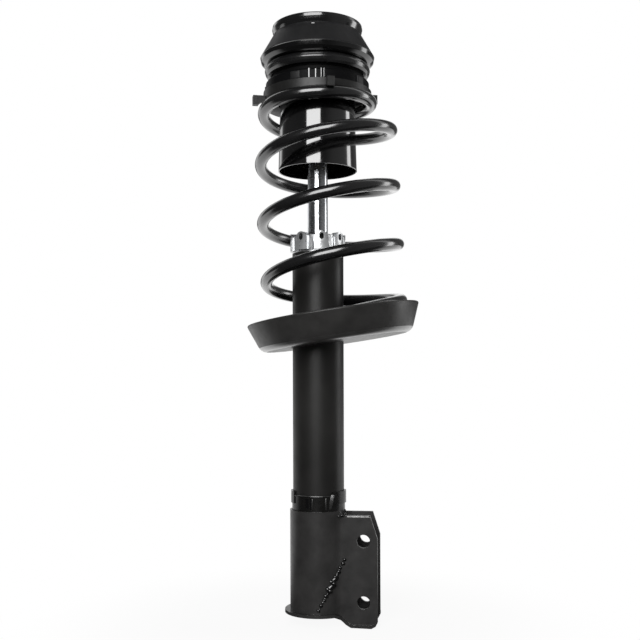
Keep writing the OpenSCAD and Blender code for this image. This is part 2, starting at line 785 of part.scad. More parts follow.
module gland_lobe(radius, z, length) {
    translate([0, 0, z])
        rotate([0, 90, 0])
            cylinder(h = length, r = radius);
    translate([0, -radius, gland_z])
        cube([length, 2 * radius, z - gland_z]);
}

module oval_hole(radius, rise, length) {
    for (side = [-1, 1])
        translate([0, 0, side * rise])
            rotate([0, 90, 0])
                cylinder(h = length, r = radius);
    translate([0, -radius, -rise])
        cube([length, 2 * radius, 2 * rise]);
}

module rod_seal() {
    lip = 1;
    r_in = rod_r + running_gap;
    r_out = gland_recess_d / 2 - seat_gap;
    top_z = gland_recess_z + seal_h;
    color([0.13, 0.13, 0.14])
        rotate_extrude()
            polygon([
                [r_in, gland_recess_z], [r_out, gland_recess_z], [r_out, gland_recess_z + lip],
                [rod_r + 3, top_z - lip], [rod_r + 2, top_z], [r_in, top_z]]);
}

module rod_guide() {
    color([0.55, 0.55, 0.56])
        union() {
            ring(rod_r + running_gap, tube_bore_r - seat_gap, guide_foot_z, guide_top_z);
            ring(rod_r + running_gap, bore_r - seat_gap, guide_foot_z - plug_h, guide_foot_z + 1);
        }
}

module pressure_tube() {
    color([0.6, 0.6, 0.62])
        ring(bore_r, bore_r + bore_tube_t, bore_foot_z, guide_foot_z);
}

module foot_valve() {
    port_r = 2;
    color([0.55, 0.55, 0.56])
        difference() {
            union() {
                cylinder_between(tube_bore_r - seat_gap, foot_valve_z, bore_foot_z);
                cylinder_between(bore_r - seat_gap, bore_foot_z - 1, bore_foot_z + plug_h);
            }
            for (i = [0:3])
                rotate([0, 0, 90 * i])
                    translate([bore_r / 2, 0, foot_valve_z + 4])
                        cylinder(h = foot_valve_h + plug_h, r = port_r);
        }
}

module foot_cap() {
    color([0.07, 0.07, 0.075])
        rotate_extrude()
            polygon(concat(
                [[0, tube_foot_z - foot_cap_h], [tube_r - 4, tube_foot_z - foot_cap_h]],
                arc([tube_r - foot_cap_h, tube_foot_z], foot_cap_h, -70, 0, 5),
                [[0, tube_foot_z]]));
}

// The lower spring seat's pressed section: floor, round corner and sloping wall.
function pan_section(inset, corner) =
    concat(arc([pan_flat_r, pan_corner_r], corner, -90, -pan_lean, 5),
        [[pan_rim_d / 2 - inset / cos(pan_lean), pan_h]]);

module lower_spring_seat() {
    outer = pan_section(0, pan_corner_r);
    inner = pan_section(pan_t, pan_corner_r - pan_t);
    inner_back = [for (i = [len(inner) - 1:-1:0]) inner[i]];
    color([0.07, 0.07, 0.075])
        difference() {
            on_pan()
                rotate_extrude()
                    polygon(concat([[0, 0]], outer, inner_back, [[0, pan_t]]));
            cylinder_between(tube_r + seat_gap, pan_z - 50, pan_rim_z + 50);
        }
}

module seat_collar() {
    color([0.07, 0.07, 0.075])
        difference() {
            ring(tube_r + seat_gap, tube_r + seat_gap + collar_t, collar_z - pan_h, collar_z + collar_h);
            on_pan()
                translate([-pan_rim_d, -pan_rim_d, pan_t - 2 * pan_rim_d])
                    cube(2 * pan_rim_d);
        }
}

module lower_isolator() {
    r = pan_flat_r - soft_gap;
    color([0.1, 0.1, 0.1])
        on_pan()
            ring(r - lower_isolator_w, r, pan_t, pan_t + lower_isolator_t);
}

module coil_spring() {
    color([0.04, 0.04, 0.045])
        rotate([0, 0, pan_turn])
            wire(coil_path, [for (p = coil_path) wire_r], wire_sides);
}

module clip_ring() {
    z = bracket_top_z;
    tab_z = z + clip_h + clip_tab_rise - clip_tab_h;
    r = wrap_in_r;
    front = pan_turn - 90;
    color([0.06, 0.06, 0.065])
        difference() {
            union() {
                ring(r, r + clip_t, z, z + clip_h);
                clip_tab(r, tab_z, front + clip_right_from, front + clip_right_to);
                clip_tab(r, tab_z, front - clip_left_to, front - clip_left_from);
            }
            slot(front - 25, 3.4, z + 3, z + clip_h - 2.5);
            slot(front - 17, 1.6, z + 2, z + clip_h + 1);
            rotate([0, 0, front + 88])
                translate([0, 0, z + clip_h - 2])
                    rotate([0, 90, 0])
                        cylinder(h = tube_d, d = clip_hole_d);
        }
}

// A tab that stands out from the band, between two angles.
module clip_tab(r, z, from, to) {
    rotate([0, 0, from])
        rotate_extrude(angle = to - from)
            translate([r + clip_t / 2, z])
                square([clip_tab_t - clip_t / 2, clip_tab_h]);
}

module slot(angle, width, z_low, z_high) {
    rotate([0, 0, angle])
        translate([tube_r - 2, -width / 2, z_low])
            cube([2 + seat_gap + clip_tab_t + 2, width, z_high - z_low]);
}

// Plan outline of the bracket: a round wrap that folds out into two flat ears.
module wrap_outline(round_r, half_w, fold) {
    centre = [sqrt(pow(round_r + fold, 2) - pow(half_w + fold, 2)), half_w + fold];
    union() {
        circle(r = round_r);
        translate([0, -half_w]) square([ear_reach, 2 * half_w]);
        for (side = [-1, 1])
            scale([1, side])
                difference() {
                    polygon([[0, 0], centre * round_r / (round_r + fold), centre, [centre[0], half_w]]);
                    translate(centre) circle(r = fold);
                }
    }
}

module wrap_prism(grow, ear_grow, z_low, z_high) {
    translate([0, 0, z_low])
        linear_extrude(height = z_high - z_low)
            wrap_outline(wrap_r + grow, ear_width / 2 + ear_grow, fold_r - ear_grow);
}

// Side view of the bracket, from its top edge down to "lift" above its bottom edge.
module side_outline(lift) {
    back = -wrap_r - flare_w - 1;
    lip_z = bracket_foot_z - ear_lip_drop;
    polygon([
        [back, bracket_foot_z + lift], [back, bracket_top_z], [wrap_r - 5, bracket_top_z],
        [wrap_r - 3, ear_top_z], [ear_reach - ear_chamfer_w, ear_top_z],
        [ear_reach, ear_top_z - ear_chamfer_h], [ear_reach, lip_z + 6 + lift],
        [ear_reach - 2, lip_z + 2.2 + lift], [ear_reach - 6, lip_z + lift],
        [ear_reach - 26, lip_z + 0.4 + lift],
        [ear_reach - 31, lip_z + 3.4 + lift], [ear_reach - 36, lip_z + 8.6 + lift],
        [ear_reach - 41, bracket_foot_z + lift]]);
}

module side_cut(lift) {
    rotate([90, 0, 0])
        translate([0, 0, -ear_width])
            linear_extrude(height = 2 * ear_width)
                side_outline(lift);
}

module knuckle_bracket() {
    low = bracket_foot_z - ear_lip_drop - 1;
    color([0.06, 0.06, 0.065])
        difference() {
            union() {
                intersection() {
                    wrap_prism(0, 0, low, bracket_top_z);
                    side_cut(0);
                }
                difference() {
                    intersection() {
                        wrap_prism(flare_w, ear_flare_w, low, bracket_foot_z + 30);
                        side_cut(0);
                    }
                    side_cut(bracket_t);
                }
            }
            translate([0, 0, low - 1])
                linear_extrude(height = bracket_top_z - low + 2)
                    wrap_bore();
            bolt_holes();
        }
}

module wrap_bore() {
    wrap_outline(wrap_in_r, ear_width / 2 - bracket_t, fold_r + bracket_t);
    translate([ear_reach - 1, bracket_t - ear_width / 2])
        square([2, ear_width - 2 * bracket_t]);
}

module bolt_holes() {
    for (z = [bolt_top_z, bolt_top_z - bolt_spacing])
        translate([bolt_reach, -ear_width, z])
            rotate([-90, 0, 0])
                cylinder(h = 2 * ear_width, d = bolt_d);
}

// Where the weld runs: across the ear's flat, over the fold and down the wrap.
function weld_point(s) = let (
    x = mix(weld_top_x, weld_foot_x, s),
    centre_x = sqrt(pow(wrap_r + fold_r, 2) - pow(ear_width / 2 + fold_r, 2)),
    tangent_x = centre_x * wrap_r / (wrap_r + fold_r),
    y = x < tangent_x ? sqrt(wrap_r * wrap_r - x * x)
        : x < centre_x ? ear_width / 2 + fold_r - sqrt(fold_r * fold_r - pow(centre_x - x, 2))
        : ear_width / 2)
    [x, -y, mix(ear_top_z - weld_drop_z, bracket_foot_z + weld_foot_h, s)];

// A lumpy bead, one lump to each drop, cut flush where it meets the sheet.
module weld_bead() {
    steps = 4 * weld_drops;
    path = [for (i = [0:steps]) weld_point(i / steps)];
    radii = [for (i = [0:steps]) weld_d / 2 * (0.86 + 0.14 * sin(90 * i - 90))];
    difference() {
        wire(path, radii, weld_sides);
        wrap_prism(0, 0, bracket_foot_z, bracket_top_z);
    }
}

module front_weld() {
    color([0.08, 0.08, 0.085])
        weld_bead();
}

module rear_weld() {
    color([0.08, 0.08, 0.085])
        mirror([0, 1, 0])
            weld_bead();
}

top_ring();
mount_rubber();
mount_cup();
mount_core();
top_washer();
rod_nut();
upper_race();
piston_rod();
rebound_cushion();
rebound_stop();
upper_shims();
piston();
piston_band();
lower_shims();
piston_nut();
bump_cup();
bump_stop();
bearing_cage();
for (i = [1:ball_count])
    ball(i);
lower_race();
upper_spring_seat();
upper_isolator();
dust_shield();
strut_tube();
gland_nut();
rod_seal();
rod_guide();
pressure_tube();
foot_valve();
foot_cap();
lower_spring_seat();
seat_collar();
lower_isolator();
coil_spring();
clip_ring();
knuckle_bracket();
front_weld();
rear_weld();
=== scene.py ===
import math

import bmesh
import bpy
import numpy as np
from mathutils import Matrix, Vector
from mathutils.kdtree import KDTree


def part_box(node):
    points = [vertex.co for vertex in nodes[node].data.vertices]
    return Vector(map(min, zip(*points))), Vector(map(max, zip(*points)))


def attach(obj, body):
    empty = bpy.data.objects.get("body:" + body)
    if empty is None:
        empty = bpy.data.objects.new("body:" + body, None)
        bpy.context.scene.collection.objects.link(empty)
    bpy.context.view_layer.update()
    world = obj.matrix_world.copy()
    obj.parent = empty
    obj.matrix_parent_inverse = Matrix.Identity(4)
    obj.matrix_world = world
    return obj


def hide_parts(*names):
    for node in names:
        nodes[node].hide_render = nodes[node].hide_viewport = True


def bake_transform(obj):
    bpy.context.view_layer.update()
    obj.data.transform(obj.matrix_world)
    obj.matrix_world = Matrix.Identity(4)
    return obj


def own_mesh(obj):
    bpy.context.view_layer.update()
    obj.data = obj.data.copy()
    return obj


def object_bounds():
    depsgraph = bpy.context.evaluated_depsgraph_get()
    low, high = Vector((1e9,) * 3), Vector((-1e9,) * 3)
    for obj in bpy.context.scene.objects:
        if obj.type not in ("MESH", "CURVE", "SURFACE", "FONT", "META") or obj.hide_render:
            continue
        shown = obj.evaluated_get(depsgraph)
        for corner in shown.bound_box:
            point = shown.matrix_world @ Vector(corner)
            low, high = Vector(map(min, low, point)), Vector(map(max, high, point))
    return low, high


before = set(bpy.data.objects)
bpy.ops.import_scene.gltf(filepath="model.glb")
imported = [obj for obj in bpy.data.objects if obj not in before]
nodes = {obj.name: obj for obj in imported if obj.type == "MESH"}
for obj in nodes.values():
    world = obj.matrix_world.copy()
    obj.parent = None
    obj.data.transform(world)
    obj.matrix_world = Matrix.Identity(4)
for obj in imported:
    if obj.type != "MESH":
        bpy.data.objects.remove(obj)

cad_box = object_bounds()
MM = 0.001

# Sizes repeated from the CAD. Sizes and places are in millimetres, angles in degrees, and Z is 0 at
# the top ring's upper face.
TURN = 8.0                           # round Z, from the bracket to the pan's tilt and to the camera
CAMERA_SIDE = TURN - 90
TILT = 8.1                           # of the pan
SHEET = 3.0
TUBE_R = 25.5
SEAT_TOP, SEAT_FOOT = -56.0, -66.0
PAN_DEEP, PAN_RIM_D, PAN_CORNER_D = 28.7, 172.8, 151.6
PAN_RIM_ACROSS, PAN_RIM_Z = 14.6, -286
PAN_ACROSS = PAN_RIM_ACROSS + PAN_DEEP * math.sin(math.radians(TILT))
PAN_Z = PAN_RIM_Z - PAN_DEEP * math.cos(math.radians(TILT))
NECK_TOP = -302.032
BRACKET_TOP, BRACKET_FOOT = -484.5, -582.8


# ---------------------------------------------------------------- materials

def feed(nt, node, inputs):
    """Gives a node's inputs their values, or links them to other nodes' outputs."""
    for key, value in inputs.items():
        if isinstance(value, bpy.types.NodeSocket):
            nt.links.new(value, node.inputs[key])
        else:
            node.inputs[key].default_value = value


def new_node(nt, kind, inputs=None, **settings):
    node = nt.nodes.new(kind)
    for key, value in settings.items():
        setattr(node, key, value)
    feed(nt, node, inputs or {})
    return node


def new_material(name, base, rough=(0.4, 0.5), spread=0.25, metallic=0.0, ior=1.5, coat=(0.0, 0.04),
                 relief=(0.1, 400, 0.05), scale=60, stretch=(1, 1, 1), brushed=0.0):
    """A procedural finish: mottled colour, varied roughness, fine relief and, if asked, marks round Z.

    rough is the least and the most roughness. coat is its weight and roughness. relief is its
    strength, the scale of its texture and its height in millimetres.
    """
    m = bpy.data.materials.new(name)
    m.use_nodes = True
    nt = m.node_tree
    coords = new_node(nt, "ShaderNodeTexCoord")
    place = new_node(nt, "ShaderNodeMapping", {"Vector": coords.outputs["Object"], "Scale": stretch})

    def noise(size, detail):
        return new_node(nt, "ShaderNodeTexNoise", {"Vector": place.outputs["Vector"], "Scale": size,
                                                   "Detail": detail}).outputs["Fac"]

    low, high = 0.3, 0.7                 # nearly all of a noise lies between these
    colour = new_node(nt, "ShaderNodeValToRGB", {"Fac": noise(scale, 4.0)})
    for element, position, factor in zip(colour.color_ramp.elements, (low, high),
                                         (1 - spread, 1 + spread)):
        element.position = position
        element.color = [min(1, c * factor) for c in base] + [1]
    roughness = new_node(nt, "ShaderNodeMapRange", {
        "Value": noise(scale * 3, 6.0), "From Min": low, "From Max": high,
        "To Min": rough[0], "To Max": rough[1]})
    strength, grain, height = relief
    bump = new_node(nt, "ShaderNodeBump", {"Height": noise(grain, 3.0), "Strength": strength,
                                           "Distance": height * MM})
    shader = nt.nodes["Principled BSDF"]
    feed(nt, shader, {
        "Base Color": colour.outputs["Color"], "Roughness": roughness.outputs["Result"],
        "Normal": bump.outputs["Normal"], "Metallic": metallic, "IOR": ior,
        "Coat Weight": coat[0], "Coat Roughness": coat[1], "Coat IOR": 1.5})
    if brushed:
        round_z = new_node(nt, "ShaderNodeTangent", direction_type="RADIAL", axis="Z")
        feed(nt, shader, {"Anisotropic": brushed, "Anisotropic Rotation": 0.25,
                          "Tangent": round_z.outputs["Tangent"]})
    return m


BLACK = (0.0045, 0.0045, 0.0048)
gloss_paint = new_material("gloss_black_paint", BLACK, (0.14, 0.2), coat=(1.0, 0.03), ior=1.6,
                           relief=(0.05, 900, 0.03))
spring_paint = new_material("gloss_black_spring_paint", BLACK, (0.2, 0.26), coat=(1.0, 0.12), ior=1.62,
                            relief=(0.08, 500, 0.04))
cup_paint = new_material("mount_cup_paint", BLACK, (0.2, 0.28), coat=(0.6, 0.16), ior=1.6,
                         relief=(0.06, 900, 0.03))
satin_paint = new_material("satin_black_paint", (0.0245, 0.0238, 0.0235), (0.3, 0.38), ior=1.4,
                           relief=(0.18, 1100, 0.05))
# A lighter satin black for the bracket's bevelled edges: a painted highlight.
bracket_edge_highlight = new_material("satin_black_edge_painted_highlight", (0.045, 0.044, 0.043), (0.25, 0.35), coat=(0.6, 0.25),
                          ior=2.0, relief=(0.1, 1100, 0.04))
# A light grey for bars along the top edges of the bracket's ears: a painted highlight.
ear_edge_highlight_paint = new_material("sheet_edge_painted_highlight", (0.26, 0.257, 0.252), (0.25, 0.4), spread=0.35,
                          coat=(0.4, 0.2), ior=1.7, relief=(0.2, 1100, 0.04), scale=220)
# A lighter, glossier paint for the clip ring's folds, lips and rolled edge: a painted highlight.
fold_highlight_paint = new_material("clip_fold_paint", (0.012, 0.0118, 0.0115), (0.24, 0.34), coat=(0.5, 0.2),
                          ior=1.75, relief=(0.1, 1100, 0.04))
clip_paint = new_material("clip_ring_paint", (0.006, 0.0058, 0.0056), (0.22, 0.32), ior=1.36,
                          relief=(0.1, 900, 0.04))
tube_paint = new_material("tube_satin_paint", (0.0138, 0.0134, 0.0128), (0.36, 0.44), ior=1.33,
                          relief=(0.12, 900, 0.04), scale=22)
pan_paint = new_material("pan_satin_paint", (0.0245, 0.0238, 0.0232), (0.3, 0.4), ior=1.42,
                         relief=(0.15, 900, 0.05))
# A shinier copy of the pan's paint for its down-facing corner: a painted highlight.
corner_highlight_paint = new_material("pan_corner_paint", (0.0225, 0.0218, 0.0213), (0.28, 0.36),
                            coat=(1.0, 0.28), ior=2.1, relief=(0.1, 900, 0.04))
weld_metal = new_material("painted_weld", (0.0025, 0.0025, 0.0026), (0.22, 0.32), coat=(0.8, 0.14),
                          relief=(0.3, 1400, 0.08))
cone_rubber = new_material("cone_rubber", (0.009, 0.009, 0.0095), ior=1.34, relief=(0.15, 1300, 0.05))
lip_rubber = new_material("cone_lip_rubber", (0.0012, 0.0012, 0.0013), (0.12, 0.18), coat=(0.5, 0.08),
                          ior=1.6, relief=(0.05, 1300, 0.03))
isolator_rubber = new_material("isolator_rubber", (0.0085, 0.0084, 0.0082), (0.38, 0.46), ior=1.45,
                               relief=(0.3, 1500, 0.05))
seal_rubber = new_material("seal_rubber", (0.012, 0.012, 0.012), relief=(0.2, 1600, 0.04))
foam = new_material("bump_stop_foam", (0.42, 0.33, 0.12), (0.75, 0.9), spread=0.15,
                    relief=(0.6, 1800, 0.2), scale=120)
shield_gloss = new_material("shield_gloss", (0.004, 0.004, 0.0042), (0.08, 0.13), coat=(1.0, 0.02),
                            ior=1.75, relief=(0.03, 300, 0.03))
# A dull black that barely reflects, for the upper seat under the cone's lip and behind the clip ring's
# slots: painted shade.
seat_shade_black = new_material("seat_black_painted_shade", (0.0035, 0.0035, 0.0038), ior=1.16,
                          relief=(0.1, 1200, 0.03))
rib_gloss = new_material("seat_rib_gloss", (0.0055, 0.0055, 0.006), (0.12, 0.18), coat=(1.0, 0.06),
                         ior=1.8, relief=(0.05, 1200, 0.02))
# A dull black that barely reflects, for the bearing races in the gap between the cup and the seat:
# painted shade.
race_painted_shade = new_material("race_painted_shade", (0.004, 0.004, 0.0042), (0.45, 0.55), ior=1.12,
                            relief=(0.1, 900, 0.05))
cage_plastic = new_material("cage_plastic", (0.62, 0.58, 0.42), (0.35, 0.45), spread=0.06)
band_plastic = new_material("band_plastic", (0.1, 0.07, 0.035))
bare_steel = new_material("bare_steel", (0.46, 0.46, 0.47), (0.25, 0.4), spread=0.12, metallic=1.0,
                          relief=(0.15, 900, 0.05), stretch=(1, 1, 6))
sintered = new_material("sintered_steel", (0.3, 0.3, 0.3), (0.45, 0.6), spread=0.2, metallic=1.0,
                        relief=(0.5, 2500, 0.08))
zinc = new_material("zinc_plate", (0.66, 0.67, 0.68), (0.24, 0.38), spread=0.1, metallic=0.72,
                    coat=(0.3, 0.1), relief=(0.2, 1200, 0.04))
# A dark zinc for the gland nut's bore and oval holes: painted shade in these recesses.
recess_shade_zinc = new_material("zinc_recess_painted_shade", (0.05, 0.05, 0.052), (0.4, 0.55), spread=0.2,
                            metallic=0.3, relief=(0.2, 1200, 0.04))
# A lighter, smoother zinc for the gland nut's rounded edges: a painted highlight.
zinc_edge_highlight = new_material("zinc_edge_painted_highlight", (0.78, 0.79, 0.8), (0.12, 0.18), spread=0.1,
                         metallic=1.0, relief=(0.1, 1200, 0.02))
ball_metal = new_material("ball_steel", (0.72, 0.72, 0.74), (0.05, 0.1), spread=0.04, metallic=1.0,
                          relief=(0.02, 400, 0.05))
chrome = new_material("chromed_rod", (0.78, 0.8, 0.83), (0.22, 0.28), spread=0.04, metallic=1.0,
                      relief=(0.04, 700, 0.01), stretch=(1, 1, 14), brushed=0.95)

CAD_FINISH = {
    "mount_core": bare_steel, "top_washer": zinc, "rod_nut": zinc, "upper_race": race_painted_shade,
    "lower_race": race_painted_shade, "bearing_cage": cage_plastic, "rebound_stop": bare_steel,
    "upper_shims": bare_steel, "lower_shims": bare_steel, "piston": sintered,
    "piston_band": band_plastic, "piston_nut": zinc, "bump_cup": gloss_paint,
    "strut_tube": tube_paint, "rod_guide": sintered, "pressure_tube": bare_steel,
    "foot_valve": sintered, "piston_rod": chrome,
}
for name, node in nodes.items():
    finish = ball_metal if name.startswith("ball_") else CAD_FINISH.get(name, satin_paint)
    node.data.materials.clear()
    node.data.materials.append(finish)


# ---------------------------------------------------------------- mesh helpers

def add_object(name, mesh, material, body, replaces=(), smooth_angle=35):
    obj = bpy.data.objects.new(name, mesh)
    bpy.context.scene.collection.objects.link(obj)
    mesh.materials.clear()
    mesh.materials.append(material)
    mesh.polygons.foreach_set("use_smooth", [True] * len(mesh.polygons))
    mesh.set_sharp_from_angle(angle=math.radians(smooth_angle))
    if body:
        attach(obj, body)
    if replaces:
        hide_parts(*replaces)
    return obj


def woven(rings, loop=True, rim=True, caps=False):
    """A mesh of four-sided faces between rings of points.

    loop joins the last ring to the first one, rim joins a ring's last point to its first one, and
    caps closes the first and the last ring.
    """
    count = len(rings[0])
    points = [[c * MM for c in point] for ring in rings for point in ring]
    faces = []
    for i in range(len(rings) if loop else len(rings) - 1):
        j = (i + 1) % len(rings)
        for k in range(count if rim else count - 1):
            m = (k + 1) % count
            faces.append((i * count + k, j * count + k, j * count + m, i * count + m))
    if caps:
        faces.append(tuple(range(count)))
        faces.append(tuple((len(rings) - 1) * count + k for k in reversed(range(count))))
    mesh = bpy.data.meshes.new("woven")
    mesh.from_pydata(points, [], faces)
    mesh.validate()
    mesh.update()
    bm = bmesh.new()
    bm.from_mesh(mesh)
    bmesh.ops.remove_doubles(bm, verts=bm.verts, dist=0.001 * MM)
    bmesh.ops.recalc_face_normals(bm, faces=bm.faces)
    bm.to_mesh(mesh)
    bm.free()
    mesh.update()
    return mesh


STRAIGHT = math.radians(178)         # a corner wider than this isn't rounded


def fillet(outline, steps=6, closed=True):
    """Rounds an outline's corners. Each corner is (x, z) or (x, z, radius)."""
    out = []
    count = len(outline)
    for i, corner in enumerate(outline):
        p = Vector(corner[:2])
        radius = corner[2] if len(corner) > 2 else 0
        before = Vector(outline[i - 1][:2]) - p
        after = Vector(outline[(i + 1) % count][:2]) - p
        angle = before.angle(after)
        at_end = not closed and i in (0, count - 1)
        if radius <= 0 or at_end or angle > STRAIGHT:
            out.append(tuple(p))
            continue
        reach = min(radius / math.tan(angle / 2), 0.49 * before.length, 0.49 * after.length)
        a, b = p + before.normalized() * reach, p + after.normalized() * reach
        for k in range(steps + 1):
            s = k / steps
            out.append(tuple((a * (1 - s) + p * s) * (1 - s) + (p * (1 - s) + b * s) * s))
    return out


def lathe(outline, segments=160, closed=True):
    """Turns an outline of (radius, z) round the Z axis. It may be a function of the angle."""
    columns = []
    for i in range(segments):
        a = 2 * math.pi * i / segments
        column = outline(a) if callable(outline) else outline
        columns.append([(x * math.cos(a), x * math.sin(a), z) for x, z in column])
    return woven(columns, rim=closed)


def sweep(path, radii, sides=20, rounded=True):
    """A round bar along a path, with rounded ends if asked."""
    path = np.array(path, float)
    radii = list(radii)
    if rounded:
        first, last = path[0] - path[1], path[-1] - path[-2]
        first, last = first / np.linalg.norm(first), last / np.linalg.norm(last)
        soft = min(1.0, 0.2 * radii[0])

        def end_ring(place, way, r, t):
            return place + way * soft * math.sin(t), r - soft * (1 - math.cos(t))

        angles = (math.pi / 2, math.pi / 3, math.pi / 6)
        start = [end_ring(path[0], first, radii[0], t) for t in angles]
        end = [end_ring(path[-1], last, radii[-1], t) for t in reversed(angles)]
        path = np.array([s[0] for s in start] + list(path) + [e[0] for e in end])
        radii = [s[1] for s in start] + radii + [e[1] for e in end]
    rings = []
    for i, centre in enumerate(path):
        way = path[min(i + 1, len(path) - 1)] - path[max(i - 1, 0)]
        way /= np.linalg.norm(way)
        side = np.cross((0, 0, 1), way)
        side /= np.linalg.norm(side)
        up = np.cross(way, side)
        angles = [2 * math.pi * k / sides for k in range(sides)]
        rings.append([centre + radii[i] * (side * math.cos(a) + up * math.sin(a)) for a in angles])
    return woven(rings, loop=False, caps=True)


def to_mesh(bm, name):
    mesh = bpy.data.meshes.new(name)
    bm.to_mesh(mesh)
    bm.free()
    return mesh


def box_mesh(size, round_by):
    """A block with rounded edges, its centre at the origin."""
    bm = bmesh.new()
    bmesh.ops.create_cube(bm, size=1)
    bmesh.ops.scale(bm, vec=[s * MM for s in size], verts=bm.verts)
    bmesh.ops.bevel(bm, geom=bm.edges[:], offset=round_by * MM, segments=3, affect="EDGES",
                    profile=0.5)
    return to_mesh(bm, "block")


def joined(parts):
    """One mesh from many (mesh, matrix) pairs."""
    bm = bmesh.new()
    for mesh, matrix in parts:
        part = mesh.copy()
        part.transform(matrix)
        bm.from_mesh(part)
        bpy.data.meshes.remove(part)
    return to_mesh(bm, "joined")


def softened(node):
    """The CAD node's own form, its flat faces joined, ready for a bevel."""
    bm = bmesh.new()
    bm.from_mesh(nodes[node].data)
    bmesh.ops.remove_doubles(bm, verts=bm.verts, dist=0.002 * MM)
    bmesh.ops.dissolve_limit(bm, angle_limit=math.radians(0.6), verts=bm.verts, edges=bm.edges)
    bmesh.ops.recalc_face_normals(bm, faces=bm.faces)
    return to_mesh(bm, node + "_form")


def bevel(obj, width, segments, angle, strip_slot=-1):
    """Rounds an object's sharp edges and, if asked, gives the strips the finish in that slot."""
    mod = obj.modifiers.new("soft_edges", "BEVEL")
    mod.material = strip_slot
    mod.width = width * MM
    mod.segments = segments
    mod.limit_method = "ANGLE"
    mod.angle_limit = math.radians(angle)
    mod.miter_outer = "MITER_ARC"
    flat = obj.modifiers.new("flat_faces", "WEIGHTED_NORMAL")
    flat.keep_sharp = True
    flat.weight = 100


def polar(angle, radius, z):
    a = math.radians(angle)
    return Vector((radius * math.cos(a) * MM, radius * math.sin(a) * MM, z * MM))


def at(angle, radius, z):
    """A matrix that puts a block's X outward at an angle, a radius and a height."""
    return Matrix.Translation(polar(angle, radius, z)) @ Matrix.Rotation(math.radians(angle), 4, "Z")


AS_IT_IS = Matrix.Identity(4)
ON_PAN = (Matrix.Rotation(math.radians(TURN), 4, "Z")
          @ Matrix.Translation((PAN_ACROSS * MM, 0, PAN_Z * MM))
          @ Matrix.Rotation(math.radians(-TILT), 4, "Y"))


# ---------------------------------------------------------------- top mount

# Here and below, an outline's corners are (radius, z), or (radius, z, rounding) where they are round.
TOP_RING = [(26, -9), (43.2, -9, 0.5), (44.4, -6.2, 2.0), (45.1, -3.6, 2.0), (44.7, 0, 1.4),
            (27.6, 0, 0.6), (26, -1.6, 0.6)]
CONE = [(34, -30.8), (34, -26.5), (14, -26.5), (14, -17), (26, -17, 0.5), (26, -9), (43.4, -9),
        (44.0, -9.1, 0.4), (44.5, -10.6, 0.8), (56.1, -30.4, 0.4), (56.1, -30.8)]
CONE_LIP = [(14, -40), (14, -30.5), (34, -30.5), (34, -30.8), (56.2, -30.8, 0.1), (57, -31.8, 0.3),
            (56.0, -35.6, 1.0), (53.0, -38.4, 0.6), (48.5, -40)]
CUP = [(18, -44, 0.4), (18, -40, 0.4), (50.2, -40, 0.3), (51.4, -41.4, 1.2), (52.7, -44.6, 2.4),
       (51.6, -47.8, 2.4), (49.9, -50, 0.5), (46.3, -50, 0.3), (46.3, -44)]

add_object("top_ring_steel", lathe(fillet(TOP_RING, 8)), gloss_paint, "mount", ["top_ring"])
add_object("cone_rubber_body", lathe(fillet(CONE, 8)), cone_rubber, "mount", ["mount_rubber"])
add_object("cone_lip_skin", lathe(fillet(CONE_LIP, 8)), lip_rubber, "mount", ())
mark = joined([(box_mesh((1.2, 3.4, 1.5), 0.3), at(CAMERA_SIDE - 5, 45.0, -11.6))])
add_object("cone_mould_mark", mark, lip_rubber, "mount", ())
add_object("mount_cup_steel", lathe(fillet(CUP, 8)), cup_paint, "mount", ["mount_cup"])

NUT_ACROSS, NUT_BORE, NUT_FOOT, NUT_TOP, NUT_SOFT = 22, 7.05, -14, -2, 0.8


def nut_outline(a):
    """The hexagon nut's outline at an angle, both ends chamfered at 30 degrees."""
    flat = NUT_ACROSS / 2
    r = flat / math.cos((a + math.pi / 6) % (math.pi / 3) - math.pi / 6)
    face_r = flat * 0.985
    drop = max(0, r - face_r) * math.tan(math.radians(30))
    return [(NUT_BORE + NUT_SOFT, NUT_FOOT), (face_r, NUT_FOOT), (r, NUT_FOOT + drop),
            (r, NUT_TOP - drop), (face_r, NUT_TOP), (NUT_BORE + NUT_SOFT, NUT_TOP),
            (NUT_BORE, NUT_TOP - NUT_SOFT), (NUT_BORE, NUT_FOOT + NUT_SOFT)]


add_object("stud_nut", lathe(nut_outline, 96), zinc, "mount", ["rod_nut"], smooth_angle=20)

STEM_R, ROD_R, STUD_R, STUD_TIP_R = 6, 10, 7, 5.3
STEM_FOOT, STEM_SHOULDER, STUD_SHOULDER, STUD_TIP = -304, -266, -58, 12
THREAD_PITCH, THREAD_DEEP, THREAD_FLANK = 2.0, 1.1, 2.6
THREAD_LOW, THREAD_HIGH, THREAD_RUN_OUT, THREAD_STEP = -17.0, 11.4, 10.2, 0.25
ROD = fillet([(0, STEM_FOOT), (STEM_R, STEM_FOOT, 0.6), (STEM_R, STEM_SHOULDER),
              (ROD_R, STEM_SHOULDER, 0.4), (ROD_R, STUD_SHOULDER, 0.6), (STUD_R, STUD_SHOULDER)],
             closed=False) + [(STUD_R, THREAD_LOW - 2)]


def rod_outline(a):
    """The piston rod's outline at an angle: stem, ground shaft, shoulder and a rolled thread."""
    thread = []
    z = THREAD_LOW
    while z < THREAD_HIGH:
        phase = (z / THREAD_PITCH - a / (2 * math.pi)) % 1.0
        r = STUD_R - THREAD_DEEP * (1 - min(1.0, abs(phase - 0.5) * THREAD_FLANK))
        thread.append((min(r, STUD_R - max(0, z - THREAD_RUN_OUT) * 1.2), z))
        z += THREAD_STEP
    return ROD + thread + [(STUD_TIP_R, STUD_TIP), (0, STUD_TIP)]


add_object("piston_rod_chromed", lathe(rod_outline, 96, closed=False), chrome, "mount",
           ["piston_rod"])


# ---------------------------------------------------------------- seat, isolator, shield, bump stop

